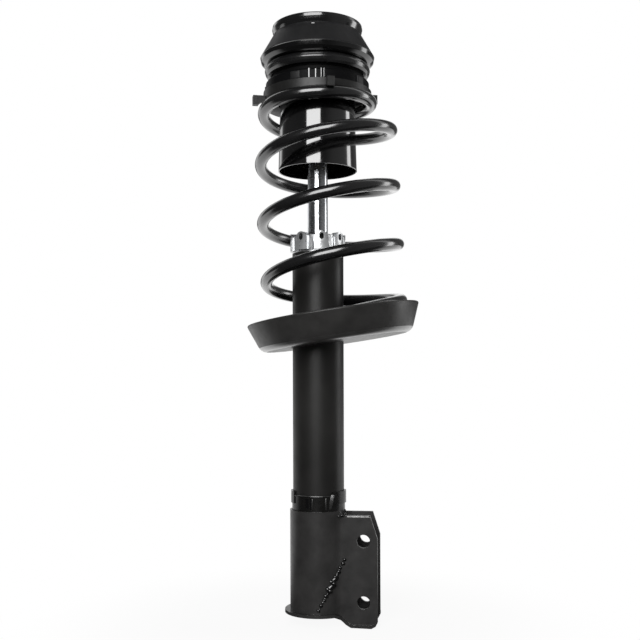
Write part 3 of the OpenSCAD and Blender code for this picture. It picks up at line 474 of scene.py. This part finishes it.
SEAT = [(28.5, -60, 0.4), (28.5, SEAT_TOP, 0.4), (50.2, SEAT_TOP, 0.5), (51.5, -57.6, 0.6),
        (51.5, SEAT_FOOT, 0.4), (48.5, SEAT_FOOT, 0.3), (48.5, -60, 0.6)]
INNER_RIBS = 12
PAD_ANGLES = (-24, 53, 125, 197, 264)                          # from the camera's side
RIM_RIBS = ((-8.8, -61.0), (-1.7, -61.6), (4.3, -61.0), (7.3, -61.0))        # angle and height
SHIELD = [(35.8, -64.8, 0.2), (35.8, -68), (38.0, -142.4), (38.1, -143.5, 0.3), (39.3, -143.5, 0.3),
          (39.25, -141.4, 0.3), (37.0, -68), (37.0, SEAT_FOOT, 0.5), (48.0, SEAT_FOOT, 0.2),
          (48.0, -64.8, 0.2)]

inner_rib = box_mesh((13.4, 2, 7.8), 0.4)
seat_parts = [(lathe(fillet(SEAT)), AS_IT_IS)]
seat_parts += [(inner_rib, at(360 / INNER_RIBS * i, 43.4, -60.9)) for i in range(INNER_RIBS)]
# The seat moulding has the dull black, painted shade under the cone's lip.
add_object("upper_spring_seat_moulding", joined(seat_parts), seat_shade_black, "upper_seat_body",
           ["upper_spring_seat"])
pad = box_mesh((4, 10, 7.6), 0.7)
add_object("upper_spring_seat_pads",
           joined([(pad, at(CAMERA_SIDE + angle, 50.5, -61.8)) for angle in PAD_ANGLES]),
           cone_rubber, "upper_seat_body", ())
rim_rib = box_mesh((1.6, 1.5, 9.2), 0.3)
add_object("upper_spring_seat_ribs",
           joined([(rim_rib, at(CAMERA_SIDE + angle + half_turn, 51.5, z))
                   for angle, z in RIM_RIBS for half_turn in (0, 180)]),
           rib_gloss, "upper_seat_body", ())
isolator = add_object("upper_isolator_rubber", softened("upper_isolator"), isolator_rubber,
                      "upper_seat_body", ["upper_isolator"])
bevel(isolator, 0.7, 3, 40)
add_object("dust_shield_skin", lathe(fillet(SHIELD, 5), 192), shield_gloss, "upper_seat_body",
           ["dust_shield"])

BULGES, BULGE_HIGH, BULGE_DEEP, BULGES_TOP = 4, 12, 2.0, -70


def bump_outline():
    """The bump stop's outline: a plain collar in its cup, then bulges that taper to the nose."""
    outline = [(10.4, -117.6), (10.4, -58.2), (23.8, -58.2), (23.9, -69.5)]
    for i in range(BULGES):
        for k in range(13):
            s = k / 12
            waist = BULGE_DEEP * (1 - math.cos(2 * math.pi * s))
            outline.append((24 - i - s - waist, BULGES_TOP - BULGE_HIGH * (i + s)))
    return outline + [(18.6, -118.0), (17.6, -118.0)]


bump = add_object("bump_stop_foam_body", lathe(bump_outline(), 96), foam, "mount", ["bump_stop"],
                  smooth_angle=50)
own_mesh(bump)


# ---------------------------------------------------------------- damper

SEAL = [(10.1, -216, 0.2), (18.9, -216, 0.2), (18.9, -214.8, 0.4), (14.2, -214.4, 0.5),
        (13.2, -212.9, 0.4), (12.0, -212.1, 0.5), (10.1, -212.1, 0.3)]
WIPER = [(13.5, -213.5), (17.6, -213.5), (17.6, -207.8, 0.6), (16.4, -207.8, 0.6),
         (15.0, -212.0, 0.8), (13.5, -212.4)]
CUSHION = [(10.1, -260, 0.4), (14.4, -260, 1.2), (14.4, -250.3, 2.0), (10.1, -250.3, 0.4)]
GLAND_BORE_R, GLAND_HOLES_R = 19.3, 24.6
GLAND_HOLE_FACE = 20e-6              # in square metres, more than any face inside an oval hole
GLAND_HOLE_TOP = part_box("gland_nut")[1].z / MM - 1.6
GLAND_HOLE_FOOT = GLAND_HOLE_TOP - 6.8

gland = add_object("gland_nut_zinc", softened("gland_nut"), zinc, "strut_body", ["gland_nut"])
# Slot 1 is the lighter zinc of the bevelled edges, a painted highlight. Slot 2 is the dark zinc of the
# bore and the oval holes, painted shade.
gland.data.materials.append(zinc_edge_highlight)
gland.data.materials.append(recess_shade_zinc)
for face in gland.data.polygons:
    out = Vector((face.center.x, face.center.y, 0))
    in_bore = out.length < GLAND_BORE_R * MM
    in_hole = (out.length < GLAND_HOLES_R * MM and abs(face.normal.dot(out.normalized())) < 0.3
               and face.area < GLAND_HOLE_FACE
               and GLAND_HOLE_FOOT < face.center.z / MM < GLAND_HOLE_TOP)
    if in_bore or in_hole:
        face.material_index = 2
bevel(gland, 0.45, 3, 30, 1)
add_object("rod_seal_rubber", lathe(fillet(SEAL), 96), seal_rubber, "strut_body", ["rod_seal"])
add_object("rod_wiper_rubber", lathe(fillet(WIPER), 96), seal_rubber, "strut_body", ())
add_object("rebound_cushion_rubber", lathe(fillet(CUSHION), 96), seal_rubber, "mount",
           ["rebound_cushion"])


# ---------------------------------------------------------------- lower spring seat

PAN_LEAN = math.atan2((PAN_RIM_D - PAN_CORNER_D) / 2, PAN_DEEP)
PAN_BEND = 9.5
PAN_FLAT = PAN_CORNER_D / 2 - math.tan((math.pi / 2 - PAN_LEAN) / 2) * PAN_BEND
PAN_HOLE = TUBE_R + 0.05
FLOOR_STEPS = (0.06, 0.3, 0.7)                     # from the hole to the end of the flat floor
INTO_PAN = ON_PAN.inverted()


def pan_profile():
    """The pan's round corner, sloping wall and rolled rim, from its inner to its outer side."""
    inner, outer, rim = [], [], []
    rim_r = PAN_RIM_D / 2 - SHEET / 2 / math.cos(PAN_LEAN) - 0.15
    for k in range(9):
        a = -math.pi / 2 + (math.pi / 2 - PAN_LEAN) * k / 8
        for side, r in ((inner, PAN_BEND - SHEET), (outer, PAN_BEND)):
            side.append((PAN_FLAT + r * math.cos(a), PAN_BEND + r * math.sin(a)))
        a = math.pi - PAN_LEAN - math.pi * k / 8
        rim.append((rim_r + SHEET / 2 * math.cos(a), PAN_DEEP - SHEET / 2 + SHEET / 2 * math.sin(a)))
    return inner + rim + outer[::-1]


def hole_edge(a, level):
    """Where the tube's upright hole meets a level of the tilted floor, in the pan's own frame."""
    axis = INTO_PAN @ Vector((0, 0, 0))
    down = INTO_PAN.to_3x3() @ Vector((0, 0, 1))
    centre = axis + down * ((level * MM - axis.z) / down.z)
    offset = INTO_PAN.to_3x3() @ Vector((PAN_HOLE * MM * math.cos(a), PAN_HOLE * MM * math.sin(a), 0))
    return (centre + offset - down * (offset.z / down.z)) / MM


def pan_mesh(segments=224):
    """The pressed pan: a floor with a hole for the tube, a corner, a wall and a rim."""
    profile = pan_profile()
    tube_centre = Vector((-PAN_ACROSS / math.cos(math.radians(TILT)), 0, 0))
    columns = []
    for i in range(segments):
        a = 2 * math.pi * i / segments
        top, foot = hole_edge(a, SHEET), hole_edge(a, 0.0)
        hub = Vector((top.x, top.y, 0))
        ray = (hub - tube_centre).normalized()
        b = hub.dot(ray)
        reach = -b + math.sqrt(b * b - hub.length_squared + PAN_FLAT ** 2)
        edge = hub + ray * reach
        floor = [hub + ray * (reach * share) for share in FLOOR_STEPS]
        angle = math.atan2(edge.y, edge.x)
        columns.append([tuple(top)] + [(p.x, p.y, SHEET) for p in floor]
                       + [(r * math.cos(angle), r * math.sin(angle), z) for r, z in profile]
                       + [(p.x, p.y, 0.0) for p in reversed(floor)] + [tuple(foot)])
    mesh = woven(columns)
    mesh.transform(ON_PAN)
    return mesh


pan = add_object("lower_spring_seat_pressing", pan_mesh(), pan_paint, "strut_body",
                 ["lower_spring_seat"])
pan.data.materials.append(corner_highlight_paint)
# Corner faces that face down and out get the shinier paint in slot 1, a painted highlight.
for face in pan.data.polygons:
    facing = ON_PAN.to_3x3().transposed() @ face.normal
    away = INTO_PAN @ face.center
    if -0.985 < facing.z < -0.42 and away.xy.length > PAN_FLAT * MM:
        face.material_index = 1

LOWER_RING = [(59.6, 3.05, 0.5), (PAN_FLAT + 0.3, 3.05, 0.4), (PAN_FLAT + 1.2, 5.9, 0.9),
              (59.6, 5.9, 0.9)]
lower_ring = lathe(fillet(LOWER_RING), 128)
lower_ring.transform(ON_PAN)
add_object("lower_isolator_rubber", lower_ring, isolator_rubber, "strut_body", ["lower_isolator"])


def bead_ring(radius, z, thickness, drops):
    """A weld bead round the tube, one lump to each drop."""
    rows, lump = 6, 0.14
    n = drops * rows
    path = [(radius * math.cos(2 * math.pi * i / n), radius * math.sin(2 * math.pi * i / n), z)
            for i in range(n + 1)]
    radii = [thickness / 2 * (1 - lump + lump * math.cos(2 * math.pi * i / rows))
             for i in range(n + 1)]
    return sweep(path, radii, 10, rounded=False)


add_object("neck_weld", bead_ring(TUBE_R + 0.9, NECK_TOP + 0.2, 3.0, 44), weld_metal, "strut_body",
           (), smooth_angle=60)


# ---------------------------------------------------------------- coil spring

WIRE_R, RUBBER_GAP = 6.0, 0.3
COIL_D, COIL_TOP_D = 133.5, 106.8
TURNS = 5.4
DEAD, TOP_FLAT = 0.3, 0.65           # turns that lie flat at the foot and at the top
BLEND = 0.9                          # turns over which the rise sets in or ends
TOP_BLEND = TURNS - 1.4              # the turn where the coil starts to narrow
PIGTAIL = 16                         # rise per turn of the narrowing part
LOWER_RUBBER, UPPER_RUBBER = 3, 2.7
WIRE_UP = SHEET + LOWER_RUBBER + RUBBER_GAP + WIRE_R
COIL_ACROSS = PAN_ACROSS - WIRE_UP * math.sin(math.radians(TILT))
COIL_Z = PAN_Z + WIRE_UP * math.cos(math.radians(TILT))
COIL_TOP_Z = SEAT_FOOT - UPPER_RUBBER - RUBBER_GAP - WIRE_R
OPEN_ACROSS = COIL_ACROSS - 7.1      # how far across the axis stands before the coil narrows

# Each change along the wire: the turn where it starts, and how many turns it takes.
NARROWING = (TOP_BLEND - 0.05, 0.85)
LEVELLING, LAST_LEVELLING = (DEAD + 0.1, 1.6), (3.3, 1.3)
LEANING = (1.1, 2.9)
LEAVING_PAN, REACHING_SEAT = (1.0, 0.6), (4.3, 0.55)
LEFT_ENDING = (3.2, 0.6)
LOW_CHANGING = (1.8, 1.0)
# How far the open turns leave the CAD's coil, as the photo shows them: to the left, down, down for
# each millimetre towards the back, and a short dip under the upper seat. Pairs are foot and top.
LEFT_BY, LOW_BY, BACK_LOW_BY = 1.2, (0.4, 0.9), (0.034, 0.026)
DIP_BY, DIP_AT, DIP_LONG = 3.8, 4.55, 0.16


def smooth(x):
    s = min(max(x, 0), 1)
    return s * s * (3 - 2 * s)


def mix(a, b, s):
    return a + (b - a) * s


def done(turn, change):
    """How much of a change along the wire is done at a turn, from 0 to 1."""
    start, length = change
    return smooth((turn - start) / length)


def soft_ramp(x):
    s = x / BLEND
    return 0 if x <= 0 else BLEND * s ** 3 * (1 - s / 2) if x < BLEND else x - BLEND / 2


PITCH = ((COIL_TOP_Z - COIL_Z - PIGTAIL * (soft_ramp(TURNS - TOP_BLEND) - soft_ramp(TOP_FLAT)))
         / (soft_ramp(TURNS - DEAD) - soft_ramp(TURNS - TOP_BLEND)))


def coil_point(turn):
    """The wire's centre at a turn, counted from the end that lies in the pan."""
    narrow = done(turn, NARROWING)
    a = math.radians(90 - 360 * (TURNS - turn))
    tilt = math.radians(TILT * (1 - done(turn, LEVELLING) / 2 - done(turn, LAST_LEVELLING) / 2))
    r = mix(COIL_D, COIL_TOP_D, narrow) / 2
    height = (COIL_Z + PITCH * soft_ramp(turn - DEAD) - (PITCH - PIGTAIL) * soft_ramp(turn - TOP_BLEND)
              - PIGTAIL * soft_ramp(turn - TURNS + TOP_FLAT))
    across = mix(mix(COIL_ACROSS, OPEN_ACROSS, done(turn, LEANING)), 0, narrow)
    x = across + r * math.cos(a) * math.cos(tilt)
    y = r * math.sin(a)
    z = height + r * math.cos(a) * math.sin(tilt)

    open_part = done(turn, LEAVING_PAN) * (1 - done(turn, REACHING_SEAT))
    up = done(turn, LOW_CHANGING)
    x -= open_part * LEFT_BY * (1 - done(turn, LEFT_ENDING))
    z -= open_part * (mix(*LOW_BY, up) + mix(*BACK_LOW_BY, up) * y)
    z -= DIP_BY * math.exp(-((turn - DIP_AT) / DIP_LONG) ** 2)
    t = math.radians(TURN)
    return (x * math.cos(t) - y * math.sin(t), x * math.sin(t) + y * math.cos(t), z)


# The first and last turns lie in their seats, and the open turns between them share the travel by
# the room that each has above the turn below it.
SEATED, TOP_SEATED = 0.95, TURNS - 0.82
CLOSED_ROOM = 12.6                   # between the centre lines of two closed turns
STEPS_PER_TURN, WIRE_SIDES = 120, 28
open_turns = np.linspace(SEATED, TOP_SEATED, 801)
room = [max(0, coil_point(t + 0.5)[2] - coil_point(t - 0.5)[2] - CLOSED_ROOM) for t in open_turns]
taken = np.concatenate([[0], np.cumsum(np.array(room[1:]) + np.array(room[:-1]))])
turns = np.linspace(0, TURNS, round(TURNS * STEPS_PER_TURN) + 1)
coil_path = [coil_point(t) for t in turns]
coil_share = np.interp(turns, open_turns, taken / taken[-1])

wire = sweep(coil_path, [WIRE_R] * len(coil_path), WIRE_SIDES)
coil = add_object("coil_spring_wire", wire, spring_paint, None, ["coil_spring"],
                  smooth_angle=50)
# Each ring of vertices has one share. Every vertex is moved onto the Z axis, to a height worked out
# from its share, the mesh is baked, and then the wire gets its form back.
tree = KDTree(len(coil_path))
for k, point in enumerate(coil_path):
    tree.insert([c * MM for c in point], k)
tree.balance()
form = [v.co.copy() for v in coil.data.vertices]
for v in coil.data.vertices:
    share = coil_share[tree.find(v.co)[1]]
    v.co = (0, 0, 0.5 - math.sin(math.asin(1 - 2 * share) / 3))
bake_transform(coil)
for v, place in zip(coil.data.vertices, form):
    v.co = place


# ---------------------------------------------------------------- clip ring, bracket and welds

clip = add_object("clip_ring_band", softened("clip_ring"), clip_paint, "strut_body", ["clip_ring"])
# The bevelled edges get the lighter paint in slot 1, a painted highlight.
clip.data.materials.append(fold_highlight_paint)
bevel(clip, 0.35, 2, 40, 1)
CLIP_R, CLIP_Z = 26.5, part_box("clip_ring")[0].z / MM + 7.5
# Each pressed lip: its angle from the camera's side, the way it faces, its size, lean and height.
LIPS = ((-13.5, -13.5, (1.5, 1.1, 11), 0, 0), (15.5, 3, (1.6, 1.4, 11.5), 0, 0),
        (28, -8, (2.4, 3.4, 14.5), -12, 1.8))
# A thin dark ring on the tube behind the clip ring's slots, so that they read black: painted shade.
SLOT_SHADE = [(TUBE_R + 0.05, CLIP_Z - 6.5), (TUBE_R + 0.05, CLIP_Z + 6.5), (TUBE_R + 0.25, CLIP_Z + 6.5),
         (TUBE_R + 0.25, CLIP_Z - 6.5)]

lips = []
for angle, facing, size, lean, z in LIPS:
    lips.append((box_mesh(size, 0.3),
                 Matrix.Translation(polar(CAMERA_SIDE + angle, CLIP_R, CLIP_Z + z))
                 @ Matrix.Rotation(math.radians(CAMERA_SIDE + facing), 4, "Z")
                 @ Matrix.Rotation(math.radians(lean), 4, "X")))
rolled = [polar(CAMERA_SIDE + a, CLIP_R + 0.1, CLIP_Z + 7.4) / MM for a in range(-60, 28, 4)]
lips.append((sweep(rolled, [0.7] * len(rolled), 10), AS_IT_IS))
# The lips and the rolled edge have the lighter paint, a painted highlight.
add_object("clip_ring_lips", joined(lips), fold_highlight_paint, "strut_body", ())
# The dark ring behind the slots is painted shade.
add_object("clip_slot_painted_shade", lathe(SLOT_SHADE, 96), seat_shade_black, "strut_body", ())

bracket = add_object("knuckle_bracket_pressing", softened("knuckle_bracket"), satin_paint,
                     "strut_body", ["knuckle_bracket"])
# The bevelled edges get the lighter satin black in slot 1, a painted highlight.
bracket.data.materials.append(bracket_edge_highlight)
bevel(bracket, 1.3, 4, 35, 1)
# Light grey bars along the top edges of the ears: a painted highlight.
HIGHLIGHT_FROM, HIGHLIGHT_MIDDLE, HIGHLIGHT_TO, HIGHLIGHT_ASIDE = 30.5, 41, 52.4, 17.3
edge_highlights = []
for y in (-HIGHLIGHT_ASIDE, HIGHLIGHT_ASIDE):
    edge_path = [(HIGHLIGHT_FROM, y, BRACKET_TOP - 1.25), (HIGHLIGHT_MIDDLE, y, BRACKET_TOP - 1.2),
                 (HIGHLIGHT_TO, y, BRACKET_TOP - 1.25)]
    edge_highlights.append((sweep(edge_path, [1.3, 1.4, 1.3], 16), AS_IT_IS))
add_object("ear_top_edge_highlights", joined(edge_highlights), ear_edge_highlight_paint, "strut_body", ())

WRAP_R, EAR_FOLD, EAR_HALF = 28.55, 9.0, 18.5
WELD_FROM_X, WELD_TO_X = 28, 4
WELD_TOP, WELD_FOOT = BRACKET_TOP - 43, BRACKET_FOOT + 7
# Each drop of the bead: its place from top to foot, its size, and how far it sits to one side.
DROPS = ((0.0, 2.2, 0.0), (0.08, 2.7, 0.5), (0.16, 2.4, -0.6), (0.25, 2.7, 0.4), (0.35, 2.9, -0.2),
         (0.43, 3.4, -2.2), (0.49, 3.1, 1.9), (0.57, 3.6, -2.0), (0.63, 3.2, 1.7), (0.71, 3.0, -0.4),
         (0.8, 2.3, 0.3), (0.9, 2.5, -0.4), (1.0, 2.3, -0.5))
DROP_FORM = (0.7, 0.9, 0.8, 1)
BEAD_ROWS, BEAD_R, BEAD_SWELL, BEAD_RIPPLE, BEAD_SWAY = 90, 1.0, 2.5, 0.3, 0.8
# Each small weld on the fold: x, y, z and size.
TACKS = ((22.6, -22.6, -484.6, 1.3), (25.6, -20.4, -484.2, 1.7), (28.3, -18.6, -483.0, 1.5))


def weld_point(s, side):
    """Where the bead runs: across the ear's flat, over the fold and down the wrap."""
    x = mix(WELD_FROM_X, WELD_TO_X, s)
    centre = math.sqrt((WRAP_R + EAR_FOLD) ** 2 - (EAR_HALF + EAR_FOLD) ** 2)
    tangent = centre * WRAP_R / (WRAP_R + EAR_FOLD)
    if x < tangent:
        y = math.sqrt(WRAP_R ** 2 - x * x)
    elif x < centre:
        y = EAR_HALF + EAR_FOLD - math.sqrt(EAR_FOLD ** 2 - (centre - x) ** 2)
    else:
        y = EAR_HALF
    return Vector((x, -side * y, mix(WELD_TOP, WELD_FOOT, s)))


def weld_mesh(side):
    """A filler strip, thicker half way down, with uneven drops on it, flattened against the sheet."""
    rows = [k / BEAD_ROWS for k in range(BEAD_ROWS + 1)]
    swell = [math.exp(-((s - 0.5) / 0.2) ** 2) for s in rows]
    radii = [BEAD_R + BEAD_SWELL * w + BEAD_RIPPLE * math.sin(90 * s) for s, w in zip(rows, swell)]
    path = [weld_point(s, side) + Vector((BEAD_SWAY * math.sin(40 * s) * w, side * 0.5 * r, 0))
            for s, w, r in zip(rows, swell, radii)]
    bm = bmesh.new()
    bm.from_mesh(sweep(path, radii, 16))
    for place, size, aside in DROPS:
        middle = weld_point(place, side) + Vector((aside, 0, aside * 0.4))
        above, below = (weld_point(min(1, max(0, place + by)), side) for by in (-0.02, 0.02))
        turn = (below - above).to_track_quat("X", "Y").to_matrix().to_4x4()
        bmesh.ops.create_icosphere(bm, subdivisions=3, radius=size * MM, matrix=(
            Matrix.Translation(middle * MM) @ turn @ Matrix.Diagonal(DROP_FORM)))
    return to_mesh(bm, "weld")


tacks = bmesh.new()
for x, y, z, size in TACKS:
    spot = Matrix.Translation((x * MM, y * MM, z * MM)) @ Matrix.Diagonal((1.2, 1.0, 0.9, 1))
    bmesh.ops.create_icosphere(tacks, subdivisions=3, radius=size * MM, matrix=spot)
add_object("fold_tack_welds", to_mesh(tacks, "tacks"), weld_metal, "strut_body", (),
           smooth_angle=60)
for side, name in ((1, "front_weld"), (-1, "rear_weld")):
    add_object(name + "_bead", weld_mesh(side), weld_metal, "strut_body", [name],
               smooth_angle=60)


# ---------------------------------------------------------------- stage, light and camera

# Sizes and places from here on are in metres.
scene = bpy.context.scene
toward = Vector((math.sin(math.radians(TURN)), -math.cos(math.radians(TURN)), 0))
across = Vector((math.cos(math.radians(TURN)), math.sin(math.radians(TURN)), 0))

CAMERA_AWAY, CAMERA_ASIDE, CAMERA_Z, CAMERA_LEAN = 0.95, 0.0017, -0.354, 0.17
camera = bpy.data.objects.new("camera", bpy.data.cameras.new("camera"))
scene.collection.objects.link(camera)
scene.camera = camera
camera.data.lens = 53.4
camera.data.sensor_width = 36
camera.data.shift_y = 0.097
camera.data.clip_end = 20
camera.location = toward * CAMERA_AWAY + across * CAMERA_ASIDE + Vector((0, 0, CAMERA_Z))
camera.rotation_euler = (math.radians(90), math.radians(CAMERA_LEAN), math.radians(TURN))


def seen_and_mirrored(nt):
    """Two outputs. The first is 1 where a ray comes from the camera, from a reflection or through
    glass, where the backdrop's own white shows. The second is 1 in reflections only."""
    rays = new_node(nt, "ShaderNodeLightPath").outputs
    seen = new_node(nt, "ShaderNodeMath", {0: rays["Is Camera Ray"], 1: rays["Is Glossy Ray"]},
                    operation="MAXIMUM")
    seen = new_node(nt, "ShaderNodeMath", {0: seen.outputs[0], 1: rays["Is Transmission Ray"]},
                    operation="MAXIMUM")
    return seen.outputs[0], rays["Is Glossy Ray"]


# The camera sees the floor white, a little shaded near the strut. Reflections see it white behind
# the strut, and dark under it and in front of it: there its glow is painted shade.
FLOOR_HALF, FLOOR_NEAR, FLOOR_FAR, FLOOR_GAP = 4.0, 0.35, 4, 0.0005
corners = [across * -FLOOR_HALF + toward * FLOOR_NEAR, across * FLOOR_HALF + toward * FLOOR_NEAR,
           across * FLOOR_HALF - toward * FLOOR_FAR, across * -FLOOR_HALF - toward * FLOOR_FAR]
floor_mesh = bpy.data.meshes.new("floor")
floor_mesh.from_pydata([(c.x, c.y, 0) for c in corners], [], [(0, 1, 2, 3)])
floor = bpy.data.objects.new("floor", floor_mesh)
floor.location = (0, 0, cad_box[0].z - FLOOR_GAP)
scene.collection.objects.link(floor)

pale = bpy.data.materials.new("pale_floor")
pale.use_nodes = True
nt = pale.node_tree
nt.nodes.remove(nt.nodes["Principled BSDF"])
seen, mirrored = seen_and_mirrored(nt)
here = new_node(nt, "ShaderNodeTexCoord").outputs["Object"]
away = new_node(nt, "ShaderNodeVectorMath", {0: here}, operation="LENGTH")
glow_share = new_node(nt, "ShaderNodeMapRange", {
    "Value": away.outputs["Value"], "From Min": 0.1, "From Max": 0.32, "To Min": 0.92, "To Max": 1.0},
    interpolation_type="SMOOTHSTEP")
in_front = new_node(nt, "ShaderNodeVectorMath", {0: here, 1: tuple(toward)}, operation="DOT_PRODUCT")
mirrored_glow = new_node(nt, "ShaderNodeMapRange", {
    "Value": in_front.outputs["Value"], "From Min": -0.26, "From Max": -0.02, "To Min": 1.0,
    "To Max": 0.05}, interpolation_type="SMOOTHSTEP")
strength = new_node(nt, "ShaderNodeMix", {
    "Factor": mirrored, "A": 1.0, "B": mirrored_glow.outputs["Result"]})
share = new_node(nt, "ShaderNodeMix", {"Factor": mirrored, "A": glow_share.outputs["Result"], "B": 1.0})
shown_share = new_node(nt, "ShaderNodeMath", {0: seen, 1: share.outputs["Result"]},
                       operation="MULTIPLY")
diffuse = new_node(nt, "ShaderNodeBsdfDiffuse", {"Color": (0.7, 0.7, 0.7, 1)})
glow = new_node(nt, "ShaderNodeEmission", {"Strength": strength.outputs["Result"]})
floor_mix = new_node(nt, "ShaderNodeMixShader", {
    0: shown_share.outputs[0], 1: diffuse.outputs[0], 2: glow.outputs[0]})
feed(nt, nt.nodes["Material Output"], {0: floor_mix.outputs[0]})
floor.data.materials.append(pale)

# The world is white to the camera. As light and in reflections it is a dark room with bright gaps.
# Each stop is a bearing, from the camera's direction to the right, and a brightness.
WALLS = [(-180, 1.0), (-170, 1.0), (-162, 0.1), (-154, 0.1), (-149, 1.0), (-136, 1.0), (-126, 0.1),
         (-110, 0.06), (22, 0.06), (44, 0.15), (84, 0.2), (94, 0.3), (97, 1.0), (112, 1.0),
         (118, 0.1), (160, 0.1), (169, 1.0), (180, 1.0)]
world = bpy.data.worlds.new("studio")
scene.world = world
world.use_nodes = True
nt = world.node_tree
seen, mirrored = seen_and_mirrored(nt)
direction = new_node(nt, "ShaderNodeTexCoord").outputs["Generated"]
ahead, aside = (new_node(nt, "ShaderNodeVectorMath", {0: direction, 1: tuple(way)},
                         operation="DOT_PRODUCT") for way in (toward, across))
bearing = new_node(nt, "ShaderNodeMath", {0: aside.outputs["Value"], 1: ahead.outputs["Value"]},
                   operation="ARCTAN2")
turn_share = new_node(nt, "ShaderNodeMapRange", {
    "Value": bearing.outputs[0], "From Min": -math.pi, "From Max": math.pi})
walls = new_node(nt, "ShaderNodeValToRGB", {"Fac": turn_share.outputs["Result"]})
ramp = walls.color_ramp
while len(ramp.elements) < len(WALLS):
    ramp.elements.new(0.5)
for element, (degrees, level) in zip(ramp.elements, WALLS):
    element.position = (degrees + 180) / 360
    element.color = (level, level, level, 1)
dark_room = nt.nodes["Background"]
feed(nt, dark_room, {"Color": walls.outputs["Color"], "Strength": 1.0})
in_metal = new_node(nt, "ShaderNodeMix", {"Factor": mirrored, "A": 1.0, "B": walls.outputs["Color"]})
white = new_node(nt, "ShaderNodeBackground", {
    "Color": (1, 1, 1, 1), "Strength": in_metal.outputs["Result"]})
mixer = new_node(nt, "ShaderNodeMixShader", {
    0: seen, 1: dark_room.outputs[0], 2: white.outputs[0]})
feed(nt, nt.nodes["World Output"], {0: mixer.outputs[0]})

LAMPS_AIM = Vector((0, 0, -0.3))


def softbox(name, azimuth, elevation, distance, width, height, radiance):
    """A soft lamp, aimed at the strut. Azimuth is from the camera's direction, positive to the right."""
    lamp = bpy.data.lights.new(name, "AREA")
    lamp.shape = "RECTANGLE"
    lamp.size, lamp.size_y = width, height
    lamp.energy = radiance * math.pi * width * height
    obj = bpy.data.objects.new(name, lamp)
    scene.collection.objects.link(obj)
    a, e = math.radians(azimuth), math.radians(elevation)
    way = (toward * math.cos(a) + across * math.sin(a)) * math.cos(e) + Vector((0, 0, math.sin(e)))
    obj.location = LAMPS_AIM + way * distance
    obj.rotation_euler = (-way).to_track_quat("-Z", "Y").to_euler()


softbox("key_softbox", azimuth=-12, elevation=24, distance=2.2, width=1.5, height=1.7, radiance=6.8)
softbox("side_strip", azimuth=104, elevation=4, distance=2.0, width=0.5, height=1.6, radiance=2.6)

scene.view_settings.view_transform = "Standard"
